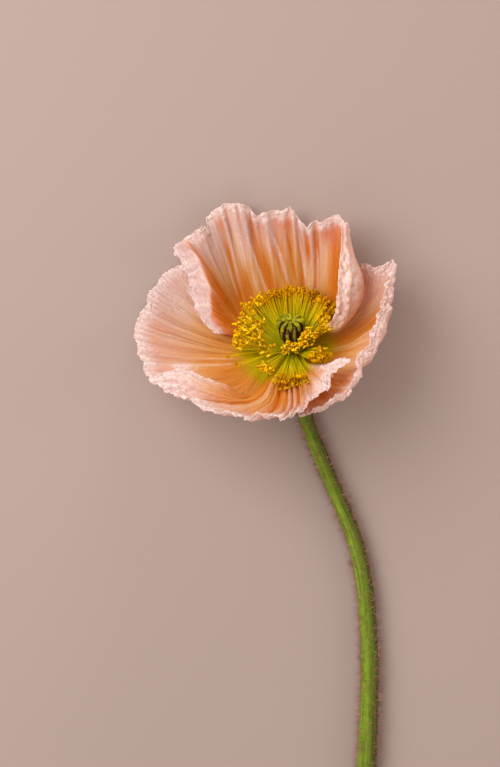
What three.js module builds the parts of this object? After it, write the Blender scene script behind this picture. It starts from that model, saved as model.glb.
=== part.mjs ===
// A cut Iceland poppy: one open bloom on a hairy, slightly bowed stem, lying on a flat surface.
// Millimetres, +Z up. The bloom's head points to +Y, and the stem runs away to -Y along the
// surface. Everything is laid out from the receptacle, the small disc at the top of the stem that
// carries the petals, the stamens and the seed pod, and the last lines move the origin to the
// middle of the object's footprint, on the surface.
import * as THREE from "three";
import { ParametricGeometry } from "three/addons/geometries/ParametricGeometry.js";
import { mergeVertices } from "three/addons/utils/BufferGeometryUtils.js";

// ---- driving dimensions -------------------------------------------------------------------
const RECEPTACLE_HEIGHT = 10.5; // height of the receptacle above the surface
const BLOOM_TILT = 44; // degrees that the bloom leans back from upright, towards +Y
const BLOOM_LEAN = -3; // degrees that it leans sideways, towards -X
const GAP = 0.35; // clearance that is left wherever one piece sits on another

const PETAL_THICKNESS = 0.5;
const PETAL_CELLS = [52, 16]; // facets across a petal and along it
const RIB_STEPS = 240; // fine steps that a rib's length is measured in
const INNER_CLAW = { radius: 4.4, rise: 1.0 }; // foot of the two inner petals
const OUTER_CLAW = { radius: 5.4, rise: -0.8 }; // foot of the two outer petals
const SURFACE_SOFTNESS = 0.45; // how softly a petal flattens where it rests on the surface

const RECEPTACLE_TOP = 1.3; // rise of the receptacle's flat top
const POD_FOOT = 1.5; // radius of the seed pod's foot
const POD_RADIUS = 4.4;
const POD_HEIGHT = 10.8; // from its foot to the middle of its crown
const STIGMA_RAYS = 9;
const STEM_SIDES = 14;
const STEM_RINGS_PER_STATION = 3; // rings between two stations of the stem's centre line

const STAMENS_PER_ROW = 19;
const STAMEN_ROWS = [
  { foot: 2.65, reach: 0.8, lift: 2.2 }, // inner row: shorter and more upright
  { foot: 3.4, reach: 1.0, lift: 0 },
];
const FILAMENT_RADIUS = 0.22;
const ANTHER_RADIUS = 0.75;
const ANTHER_LENGTH = 2.4;

// ---- the bloom's own axes -----------------------------------------------------------------
const lean = THREE.MathUtils.degToRad(BLOOM_LEAN);
const tilt = THREE.MathUtils.degToRad(BLOOM_TILT);
const axis = new THREE.Vector3(
  Math.sin(lean),
  Math.sin(tilt) * Math.cos(lean),
  Math.cos(tilt) * Math.cos(lean),
).normalize();
const back = new THREE.Vector3(0, Math.cos(tilt), -Math.sin(tilt)).projectOnPlane(axis).normalize();
const side = new THREE.Vector3().crossVectors(back, axis);

// A point of the bloom from its bearing about the axis, its distance from it and its rise along it.
// Bearing 0 is to +X, 90 is to the back (+Y, on the surface) and 270 is to the front (up).
function bloomPoint(bearing, radius, rise) {
  const angle = THREE.MathUtils.degToRad(bearing);
  return new THREE.Vector3(0, 0, RECEPTACLE_HEIGHT)
    .addScaledVector(side, radius * Math.cos(angle))
    .addScaledVector(back, radius * Math.sin(angle))
    .addScaledVector(axis, rise);
}

// ---- petals -------------------------------------------------------------------------------
// A petal is a sheet through ribs that run from its foot to its rim. Each rib has its own stations
// after the foot, as [x, y, height above the surface], and the ribs are listed from one side edge
// of the petal to the other. from and to are the bearings of the foot's two ends.
const PETALS = [
  {
    name: "petal_back",
    claw: INNER_CLAW,
    from: 168,
    to: 8,
    ribs: [
      // lower edge, ending at the corner of the fold
      [[-12, 4.2, 8.2], [-16.5, 4.6, 10], [-21.5, 5, 11.5], [-26.2, 5.5, 12.5]],
      // from here the rim folds out over petal_left
      [[-13, 5, 8.5], [-20, 8.2, 8.8], [-26.2, 12.3, 13.5], [-28.2, 12.6, 12.6], [-31.5, 12.3, 9.5]],
      [[-14, 6.5, 7.2], [-20.5, 12.3, 7], [-26.6, 19.4, 14.5], [-29, 20, 13], [-33, 20.5, 8.5]],
      [
        [-14.5, 7.2, 6.6], [-20.5, 14, 5.5], [-26, 22, 9],
        [-30.8, 29.5, 14], [-32.8, 28.3, 12.6], [-35, 26.8, 9.5],
      ],
      [
        [-14.8, 7.4, 6.4], [-20.5, 14.5, 4.5], [-25.5, 23, 6],
        [-31, 31, 11.5], [-35.2, 35.3, 13], [-38.5, 33.5, 7],
      ],
      [[-14.5, 7.8, 6], [-19.5, 14.5, 3.5], [-24, 23.5, 3.5], [-28, 31, 5], [-31.5, 38.5, 6.5]],
      [[-13.5, 8.8, 5], [-18.5, 16, 2], [-22, 25, 1.2], [-25, 34, 2], [-28, 43.5, 4]],
      [[-12.5, 9.5, 4], [-15, 17, 1], [-17.5, 26, 0], [-20, 36, 1], [-23, 47, 6]],
      [[-9, 9.5, 4], [-11, 17.5, 0.5], [-13.5, 27, 0], [-15, 37, 1], [-17, 48, 6.5]],
      [[-5, 10, 4.5], [-6.5, 17.5, 1], [-8, 27, 0], [-10, 36.5, 1], [-11.5, 44.5, 5.5]],
      [[-1, 10.5, 5.5], [-1, 18, 1], [-2, 27.5, 0], [-2.5, 36.5, 1.5], [-3.5, 46, 7]],
      [[3, 10.5, 6.5], [4, 18, 2], [4, 27, 1], [3.5, 35.5, 3], [2.5, 44, 8.5]],
      [[6.5, 9.5, 8], [9.5, 16.5, 4], [10.5, 26.5, 3.5], [10.5, 35, 5], [10, 42.5, 11]],
      [[8.5, 8.5, 9], [14, 15, 9.5], [16.5, 25.5, 10], [16.5, 34.5, 11], [15, 43.5, 14.5]],
      [[10, 6.5, 11], [18, 9.5, 14], [22.5, 16, 17], [23, 23, 19], [20, 31, 19.5], [18, 40, 18.5]],
      [
        [9, 5, 12.5], [15, 5.5, 17], [18.5, 10.5, 22], [19.5, 19, 26],
        [19, 27.5, 26], [17.5, 35.5, 23], [18, 41, 20.5],
      ],
      // side edge, turned in over the bloom
      [
        [8, 4, 14], [11.6, 7.2, 20.2], [14, 11.2, 24], [14.6, 16.5, 27],
        [15, 23.5, 28], [15.5, 30, 27.5], [16, 36, 25], [15.5, 41, 22],
      ],
    ],
  },
  {
    name: "petal_left",
    claw: OUTER_CLAW,
    from: 128,
    to: 246,
    ribs: [
      [[-10, 3.5, 6], [-20, 10.5, 2], [-28, 20, 0], [-36, 28.5, 0]],
      [[-11, 2.5, 7.2], [-22, 8, 3.8], [-32.5, 16.5, 0.5], [-42, 25, 0]],
      [[-12, 1.5, 8.5], [-23, 5.5, 5.5], [-35, 13, 1.5], [-45.5, 20, 1]],
      [[-13, 0.5, 9.5], [-24, 3.5, 6.5], [-37, 9, 2.5], [-48, 15.5, 2.5]],
      [[-13, -1, 11], [-24.5, 0.5, 8], [-38, 4.5, 4.5], [-51, 9, 4.5]],
      [[-13, -2.5, 13], [-24, -2, 10.5], [-38, -0.5, 7.5], [-51.5, 3, 8]],
      [[-12, -3.5, 14.5], [-23, -5, 13.5], [-36.5, -5, 11.5], [-49, -4, 13]],
      [[-11, -4.5, 15.5], [-20.5, -9, 17.5], [-33.5, -10, 17.5], [-46.5, -9.5, 20]],
      [[-10, -7, 15.5], [-17, -13, 22], [-25.5, -16, 26], [-35, -14, 27]],
      [[-8, -9.5, 15.5], [-11.5, -16, 23.5], [-17, -18.5, 28.5], [-25, -18, 30]],
    ],
  },
  {
    name: "petal_front",
    claw: INNER_CLAW,
    from: 212,
    to: 322,
    ribs: [
      // edge that sweeps over petal_left
      [
        [-8, -8.5, 22], [-10, -12, 25], [-13.5, -15, 28], [-17.5, -14.5, 29.5],
        [-21.5, -12, 30.5], [-26, -10.5, 31], [-31, -8.5, 31], [-36, -6.5, 30],
      ],
      [
        [-7.5, -9.5, 23], [-10, -13.5, 27], [-15, -16.5, 30], [-21.5, -15.5, 33],
        [-28.5, -13, 34], [-37, -9, 33.5], [-45.5, -10, 33],
      ],
      [
        [-7.5, -9.5, 24], [-10, -14.5, 29], [-15.5, -17, 32.5],
        [-23, -17.5, 35.5], [-31.5, -15, 36.5], [-41, -12.5, 37],
      ],
      [
        [-6.5, -10, 25], [-9.5, -15.5, 31], [-14, -18.5, 35.5],
        [-20.5, -19, 39.5], [-28, -18, 41], [-34.5, -17, 41.5],
      ],
      [
        [-5.5, -10.5, 26], [-7.5, -16.5, 33], [-11.5, -19, 39],
        [-16, -20.5, 43.5], [-22, -20.5, 46.5], [-27, -19.5, 47.5],
      ],
      [[-4, -11, 27], [-5.5, -17, 35.5], [-8, -20, 43], [-12, -21.5, 48.5], [-16.5, -21.5, 51.5]],
      [[-2, -11.5, 27.5], [-3, -17.5, 37], [-4.5, -20.5, 46.5], [-7.5, -21.5, 52], [-10.5, -21.5, 54.5]],
      [[-0.5, -11, 27.5], [-0.5, -16.5, 37.5], [-1, -20, 46.5], [-2.5, -21.5, 53], [-4, -22.5, 55.5]],
      [[1.5, -10.5, 27.5], [2, -14.5, 36.5], [2, -18, 44.5], [1, -19.5, 50], [-0.5, -21.5, 53.5]],
      [[2.5, -9.5, 27], [3.5, -13, 35], [3.5, -15.5, 43], [4, -17.5, 47.5], [3.5, -19, 50]],
      [[3.5, -8.5, 26], [5, -11, 33], [5.5, -13.5, 40], [6.5, -15, 44], [6.5, -15.5, 46]],
      [[4.5, -7, 24.5], [6, -8.5, 31], [7.5, -10.5, 37], [10, -12, 41], [11, -13, 43]],
      [[4.5, -5.5, 23], [7, -6.5, 28.5], [10, -7.5, 34], [12.5, -8.5, 38], [12.5, -9, 40]],
      // edge curled up over petal_right
      [[4.5, -4.5, 22], [8, -5.5, 26], [11, -5.5, 29.5], [14.5, -3.5, 33.5], [18, -4, 38]],
    ],
  },
  {
    name: "petal_right",
    claw: OUTER_CLAW,
    from: 402,
    to: 288,
    ribs: [
      [[8, 4, 7.5], [15.5, 11.5, 5], [20.5, 19.5, 5], [23.5, 28, 7.5]],
      [[9, 3.5, 8], [17, 10.5, 6.5], [23, 18, 8.5], [26.5, 26.5, 12.5]],
      [[9.5, 2.5, 9], [18.5, 8.5, 8], [25.5, 16.5, 12.5], [28.5, 22, 17], [28.5, 26.5, 20]],
      [[10, 1.5, 9.5], [19.5, 7, 9.5], [27.5, 14.5, 15], [32, 22.5, 20.5], [33, 28, 21.5]],
      // rim curled inward from here on
      [[10, 0.5, 10.5], [20, 4.5, 11.5], [28.5, 12, 17.5], [32.5, 19, 24.5], [30, 20, 28]],
      [[10, -0.5, 11.5], [19.5, 1, 13.5], [28, 6.5, 20.5], [32, 13, 27.5], [28.5, 13.5, 31]],
      [[9, -2.5, 13], [18, -2, 17.5], [25.5, 0, 25], [30, 7, 31.5], [26.5, 8.5, 34.5]],
      [[8, -3.5, 14], [16, -5, 20.5], [22.5, -4, 29.5], [27, -0.5, 35.5], [24.5, 2.5, 37.5]],
      [[6.5, -5, 14.5], [12, -8.5, 24.5], [18.5, -9, 32.5], [22.5, -6, 37.5], [20.5, -4, 39]],
      [[4.5, -6.5, 15.5], [7.5, -13, 26.5], [13, -15.5, 35.5], [18.5, -14, 39.5], [18.5, -11.5, 41.5]],
      [[3, -7, 16], [4.5, -13, 27], [8, -17.5, 36.5], [13.5, -17.5, 40], [14, -15.5, 42]],
      [[2, -7.5, 16], [2.5, -13, 27.5], [4, -18, 37.5], [8, -20, 40.5], [8.5, -18.5, 42]],
      [[1, -7.5, 16.5], [0.5, -13.5, 27.5], [1, -18.5, 38.5], [2.5, -22, 41.5]],
    ],
  },
];

// ---- stem ---------------------------------------------------------------------------------
// Centre line of the stem after it has left the receptacle, as [x, y, radius]. It lies on the
// surface, so its centre is one radius above it, except on the short bend up to the bloom.
const STEM_BEND = [[0.6, -4.3, 6.1, 2.3], [1.9, -9.5, 3.4, 2.2], [3.3, -16, 2.3, 2.15]];
const STEM_RUN = [
  [4.8, -22.6, 2.15], [6.2, -27, 2.2], [10.4, -37.5, 2.25], [15.8, -50.3, 2.35], [21, -63.6, 2.5],
  [24.2, -78, 2.6], [25.5, -92.3, 2.7], [26, -105, 2.8], [25.8, -117, 2.9], [25, -136.4, 3.1],
  [23.6, -153, 3.15], [21.4, -170, 3.2], [19, -184, 3.2],
];
// The receptacle's profile along the bloom's axis, from its flat top down into the stem.
const RECEPTACLE = [[1.3, 3.75], [0.95, 4.05], [-0.8, 4.95], [-1.5, 4.6], [-2.6, 3.0]];

// ---- stamens ------------------------------------------------------------------------------
// Where the outer row's anthers stand, as [distance from the axis, rise] every 45 degrees of
// bearing from 0: upright at the back, spread flat at the left and the front.
const ANTHER_RING = [
  [12, 9], [14.5, 10.5], [13.5, 12.5], [15, 10.5], [19, 6], [20, 6.5], [20, 8], [14, 10.5],
];

// ---- shape helpers ------------------------------------------------------------------------
// Catmull-Rom curve through evenly spaced stations.
function along(stations, t) {
  const last = stations.length - 1;
  const at = Math.min(Math.max(t, 0), 1) * last;
  const i = Math.min(Math.floor(at), last - 1);
  const f = at - i;
  const p1 = stations[i];
  const p2 = stations[i + 1];
  const p0 = i > 0 ? stations[i - 1] : p1.clone().multiplyScalar(2).sub(p2);
  const p3 = i < last - 1 ? stations[i + 2] : p2.clone().multiplyScalar(2).sub(p1);
  const weights = [
    -f + 2 * f ** 2 - f ** 3,
    2 - 5 * f ** 2 + 3 * f ** 3,
    f + 4 * f ** 2 - 3 * f ** 3,
    f ** 3 - f ** 2,
  ];
  return new THREE.Vector3()
    .addScaledVector(p0, weights[0] / 2)
    .addScaledVector(p1, weights[1] / 2)
    .addScaledVector(p2, weights[2] / 2)
    .addScaledVector(p3, weights[3] / 2);
}

// Welds a parametric surface into one closed body: shared points merged, collapsed facets dropped.
function closedBody(surface) {
  surface.deleteAttribute("normal");
  surface.deleteAttribute("uv");
  const welded = mergeVertices(surface, 1e-4);
  const kept = [];
  for (let i = 0; i < welded.index.count; i += 3) {
    const [a, b, c] = [0, 1, 2].map((k) => welded.index.getX(i + k));
    if (a !== b && b !== c && c !== a) kept.push(a, b, c);
  }
  welded.setIndex(kept);
  welded.computeVertexNormals();
  return welded;
}

// A round body along a centre line: points and radii in step, closed to a point at both ends.
function roundBody(points, radii, sides) {
  const rings = points.length;
  const tangents = points.map((p, i) =>
    points[Math.min(i + 1, rings - 1)].clone().sub(points[Math.max(i - 1, 0)]).normalize(),
  );
  const normals = [new THREE.Vector3(1, 0, 0).projectOnPlane(tangents[0]).normalize()];
  for (let i = 1; i < rings; i++) {
    normals.push(normals[i - 1].clone().projectOnPlane(tangents[i]).normalize());
  }
  const surface = new ParametricGeometry((u, v, target) => {
    const i = Math.round(v * (rings + 1)) - 1;
    const ring = Math.min(Math.max(i, 0), rings - 1);
    const radius = i < 0 || i >= rings ? 0 : radii[ring];
    const turn = (2 * Math.PI * (Math.round(u * sides) % sides)) / sides;
    const binormal = new THREE.Vector3().crossVectors(tangents[ring], normals[ring]);
    target.copy(points[ring])
      .addScaledVector(normals[ring], radius * Math.cos(turn))
      .addScaledVector(binormal, radius * Math.sin(turn));
  }, sides, rings + 1);
  return closedBody(surface);
}

function material(color, roughness) {
  return new THREE.MeshStandardMaterial({ color, roughness, metalness: 0 });
}

// ---- build the petals ---------------------------------------------------------------------
const flower = new THREE.Group();

// A petal can't go below the surface that the flower lies on: it flattens against it instead.
function rest(point) {
  const floor = PETAL_THICKNESS / 2;
  point.z = floor + SURFACE_SOFTNESS * Math.log(1 + Math.exp((point.z - floor) / SURFACE_SOFTNESS));
  return point;
}

// A rib's curve as fine points, with the share of its length that lies before each of them.
function measuredRib(foot, stations) {
  const through = [foot, ...stations.map((p) => new THREE.Vector3(...p))];
  const points = Array.from({ length: RIB_STEPS + 1 }, (_, i) => along(through, i / RIB_STEPS));
  const shares = [0];
  for (let i = 1; i <= RIB_STEPS; i++) shares.push(shares[i - 1] + points[i].distanceTo(points[i - 1]));
  return { points, shares: shares.map((run) => run / shares[RIB_STEPS]) };
}

// The point of a measured rib that has the given share of its length behind it.
function ribPoint({ points, shares }, share) {
  let i = 1;
  while (i < RIB_STEPS && shares[i] < share) i += 1;
  const f = (share - shares[i - 1]) / (shares[i] - shares[i - 1]);
  return points[i - 1].clone().lerp(points[i], f);
}

function petalGeometry({ claw, from, to, ribs }) {
  const last = ribs.length - 1;
  const measured = ribs.map((rib, k) =>
    measuredRib(bloomPoint(from + ((to - from) * k) / last, claw.radius, claw.rise), rib),
  );
  const sheet = (across, up) => rest(along(measured.map((rib) => ribPoint(rib, up)), across));
  const [cellsAcross, cellsUp] = PETAL_CELLS;
  // The body goes across the upper face and back across the lower one, and thins to nothing at its
  // foot, its rim and its side edges.
  const surface = new ParametricGeometry((u, v, target) => {
    const step = Math.round(u * 2 * cellsAcross);
    const upper = step <= cellsAcross;
    const across = (upper ? step : 2 * cellsAcross - step) / cellsAcross;
    const d = 0.01;
    const alongRib = sheet(across, Math.min(v + d, 1)).sub(sheet(across, Math.max(v - d, 0)));
    const overRibs = sheet(Math.min(across + d, 1), v).sub(sheet(Math.max(across - d, 0), v));
    const normal = overRibs.cross(alongRib).normalize();
    const inside = across > 1e-6 && across < 1 - 1e-6 && v > 1e-6 && v < 1 - 1e-6;
    const offset = inside ? (upper ? 0.5 : -0.5) * PETAL_THICKNESS : 0;
    target.copy(sheet(across, v)).addScaledVector(normal, offset);
  }, 2 * cellsAcross, cellsUp);
  return closedBody(surface);
}

for (const petal of PETALS) {
  const mesh = new THREE.Mesh(petalGeometry(petal), material(0xeda98c, 0.6));
  mesh.name = petal.name;
  flower.add(mesh);
}

// ---- build the stem with its receptacle ---------------------------------------------------
const stemPoints = RECEPTACLE.map(([rise]) => bloomPoint(0, 0, rise));
const stemRadii = RECEPTACLE.map(([, radius]) => radius);
// The centre line below the receptacle, as points that carry the radius beside them.
const stemPlaces = [
  stemPoints.at(-1).clone(),
  ...STEM_BEND.map(([x, y, z]) => new THREE.Vector3(x, y, z)),
  ...STEM_RUN.map(([x, y, radius]) => new THREE.Vector3(x, y, radius)),
];
const stemWidths = [stemRadii.at(-1), ...STEM_BEND.map((p) => p[3]), ...STEM_RUN.map((p) => p[2])];
const stemSteps = (stemPlaces.length - 1) * STEM_RINGS_PER_STATION;
for (let i = 1; i <= stemSteps; i++) {
  const point = along(stemPlaces, i / stemSteps);
  const radius = along(stemWidths.map((width) => new THREE.Vector3(width, 0, 0)), i / stemSteps).x;
  point.z = Math.max(point.z, radius); // the stem lies on the surface, never in it
  stemPoints.push(point);
  stemRadii.push(radius);
}
const stem = new THREE.Mesh(roundBody(stemPoints, stemRadii, STEM_SIDES), material(0x5f8f2e, 0.55));
stem.name = "stem";
flower.add(stem);

// ---- build the seed pod (ovary and stigma crown, grown as one) -----------------------------
const podFoot = RECEPTACLE_TOP + GAP;
const podProfile = [
  [POD_FOOT, 0], [POD_RADIUS * 0.56, 0.1], [POD_RADIUS * 0.86, 0.3], [POD_RADIUS, 0.58],
  [POD_RADIUS * 0.97, 0.76], [POD_RADIUS * 1.1, 0.86], [POD_RADIUS * 0.75, 0.97],
];
const podSides = STIGMA_RAYS * 4;
const podRings = podProfile.length;
const podSurface = new ParametricGeometry((u, v, target) => {
  const i = podRings - Math.round(v * (podRings + 1));
  const step = Math.round(u * podSides) % podSides;
  const [radius, height] = podProfile[Math.min(Math.max(i, 0), podRings - 1)];
  const tip = i < 0 || i >= podRings;
  const lobe = 1 + (height > 0.8 ? 0.1 : 0.04) * Math.cos((2 * Math.PI * STIGMA_RAYS * step) / podSides);
  const rise = podFoot + POD_HEIGHT * (i >= podRings ? 1 : height);
  target.copy(bloomPoint((-360 * step) / podSides, tip ? 0 : radius * lobe, rise));
}, podSides, podRings + 1);
const pod = new THREE.Mesh(closedBody(podSurface), material(0x8f9a3a, 0.6));
pod.name = "pistil";
flower.add(pod);

// ---- build the stamens ---------------------------------------------------------------------
function antherPlace(bearing) {
  const at = (((bearing % 360) + 360) % 360) / 45;
  const i = Math.floor(at);
  const f = at - i;
  const [a, b] = [ANTHER_RING[i % 8], ANTHER_RING[(i + 1) % 8]];
  return [a[0] + (b[0] - a[0]) * f, a[1] + (b[1] - a[1]) * f];
}

let count = 0;
STAMEN_ROWS.forEach(({ foot, reach, lift }, row) => {
  for (let k = 0; k < STAMENS_PER_ROW; k++) {
    const bearing = ((k + row / 2) * 360) / STAMENS_PER_ROW;
    const [distance, rise] = antherPlace(bearing);
    const curve = new THREE.QuadraticBezierCurve3(
      bloomPoint(bearing, foot, RECEPTACLE_TOP + GAP + 0.5 * FILAMENT_RADIUS),
      bloomPoint(bearing, foot + 0.5 * (distance * reach - foot), RECEPTACLE_TOP + 0.5 * (rise + lift)),
      bloomPoint(bearing, distance * reach, rise + lift),
    );
    const anther = ANTHER_LENGTH / curve.getLength();
    const places = [0, 0.25, 0.5, 1 - anther, 1 - 0.75 * anther, 1 - 0.3 * anther, 1];
    const radii = [1, 1, 1, 1, 0, 0, 1.6].map((n) => n * FILAMENT_RADIUS);
    radii[4] = radii[5] = ANTHER_RADIUS;
    const body = roundBody(places.map((t) => curve.getPointAt(t)), radii, 6);
    const mesh = new THREE.Mesh(body, material(0xe3a712, 0.75));
    count += 1;
    mesh.name = `stamen_${String(count).padStart(2, "0")}`;
    flower.add(mesh);
  }
});

// ---- the object's own origin: middle of its footprint, on the surface ----------------------
const bounds = new THREE.Box3().setFromObject(flower, true);
const middle = bounds.getCenter(new THREE.Vector3());
flower.position.set(-middle.x, -middle.y, -bounds.min.z);

const poppy = new THREE.Group();
poppy.add(flower);
export default poppy;
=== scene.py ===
import math

import bpy
import numpy as np
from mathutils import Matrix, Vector


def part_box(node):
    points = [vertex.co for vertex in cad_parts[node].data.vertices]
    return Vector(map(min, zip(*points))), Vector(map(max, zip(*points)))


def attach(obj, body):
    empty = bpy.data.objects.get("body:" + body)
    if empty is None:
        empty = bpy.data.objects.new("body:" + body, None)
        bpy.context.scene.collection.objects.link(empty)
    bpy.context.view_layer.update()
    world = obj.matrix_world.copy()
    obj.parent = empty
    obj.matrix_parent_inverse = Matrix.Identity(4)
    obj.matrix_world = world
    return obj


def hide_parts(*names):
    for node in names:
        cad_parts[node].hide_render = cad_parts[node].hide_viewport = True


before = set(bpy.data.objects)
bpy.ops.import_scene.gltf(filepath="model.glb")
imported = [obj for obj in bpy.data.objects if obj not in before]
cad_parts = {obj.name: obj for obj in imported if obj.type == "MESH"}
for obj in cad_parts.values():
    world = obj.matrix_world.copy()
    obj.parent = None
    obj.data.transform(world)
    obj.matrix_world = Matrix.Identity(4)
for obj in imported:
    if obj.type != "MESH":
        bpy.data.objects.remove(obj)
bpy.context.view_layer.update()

# ---- Where the bloom sits ------------------------------------------------------------------
# The flower is laid out in millimetres from its receptacle, the disc at the top of the stem.
# The bloom leans back from upright, so everything in it is placed about its own tilted axis.
MM = 0.001
POD_CENTRE = np.array([-0.40, 5.73, 5.80])  # middle of the seed pod's box, from the receptacle
BLOOM_TILT = math.radians(44)
BLOOM_LEAN = math.radians(-3)

pod_low, pod_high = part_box("pistil")
receptacle = np.array((pod_low + pod_high) / 2) / MM - POD_CENTRE
FLOOR = -receptacle[2]  # height of the floor as seen from the receptacle

axis = np.array([
    math.sin(BLOOM_LEAN),
    math.sin(BLOOM_TILT) * math.cos(BLOOM_LEAN),
    math.cos(BLOOM_TILT) * math.cos(BLOOM_LEAN),
])
back = np.array([0, math.cos(BLOOM_TILT), -math.sin(BLOOM_TILT)])
back = back - axis * (back @ axis)
back = back / np.linalg.norm(back)
side = np.cross(back, axis)


def bloom_point(bearing, radius, rise):
    """A point of the bloom from its bearing in degrees, distance from the axis and rise along it."""
    angle = np.radians(bearing)
    radius = np.asarray(radius, float)[..., None]
    rise = np.asarray(rise, float)[..., None]
    out = np.cos(angle)[..., None] * side + np.sin(angle)[..., None] * back
    return radius * out + rise * axis


# ---- Petals --------------------------------------------------------------------------------
# Four thin petals, two inner and two outer, each grown from a narrow claw at the receptacle. They
# were packed crumpled in the bud and opened in a few hours, so they keep sharp pleats that run
# from claw to rim, fine crepe between the pleats and a crinkled edge.
PETAL_THICKNESS = 0.16
INNER_CLAW = (4.4, 1.0)  # distance from the axis and rise of an inner petal's foot
OUTER_CLAW = (5.4, -0.8)

# A petal's ribs run from its foot to its rim, listed from one side edge to the other, with
# stations of x, y and height above the floor. A place across the petal goes from 0 at the first
# side edge to 1 at the last, and the way up goes from 0 at the foot to 1 at the rim.
#   pleats             low place, place at the rim, height
#   notches            place, how far the rim stands out or in
#   orange_shade_patches, pale_lit_patches   orange and pale patches, partly the petal's own colour and partly painted shade and painted light: place, way up, width, length, strength
#   creases, crests    orange and pale lines, partly the petal's own veining and partly painted shade in the folds and painted highlight on the ridges: low place, place at the rim, start, end, width, strength
#   turned             place, and the way up past which the petal shows its back
#   frills             crinkled patches: place, way up, width, length, strength
#   claw_reach         where the green of the claw starts to go and ends, from the foot
#   frill, spare, cap  height of the crinkle, spare cloth, how far the crumple may stand out
PETALS = {}

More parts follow.
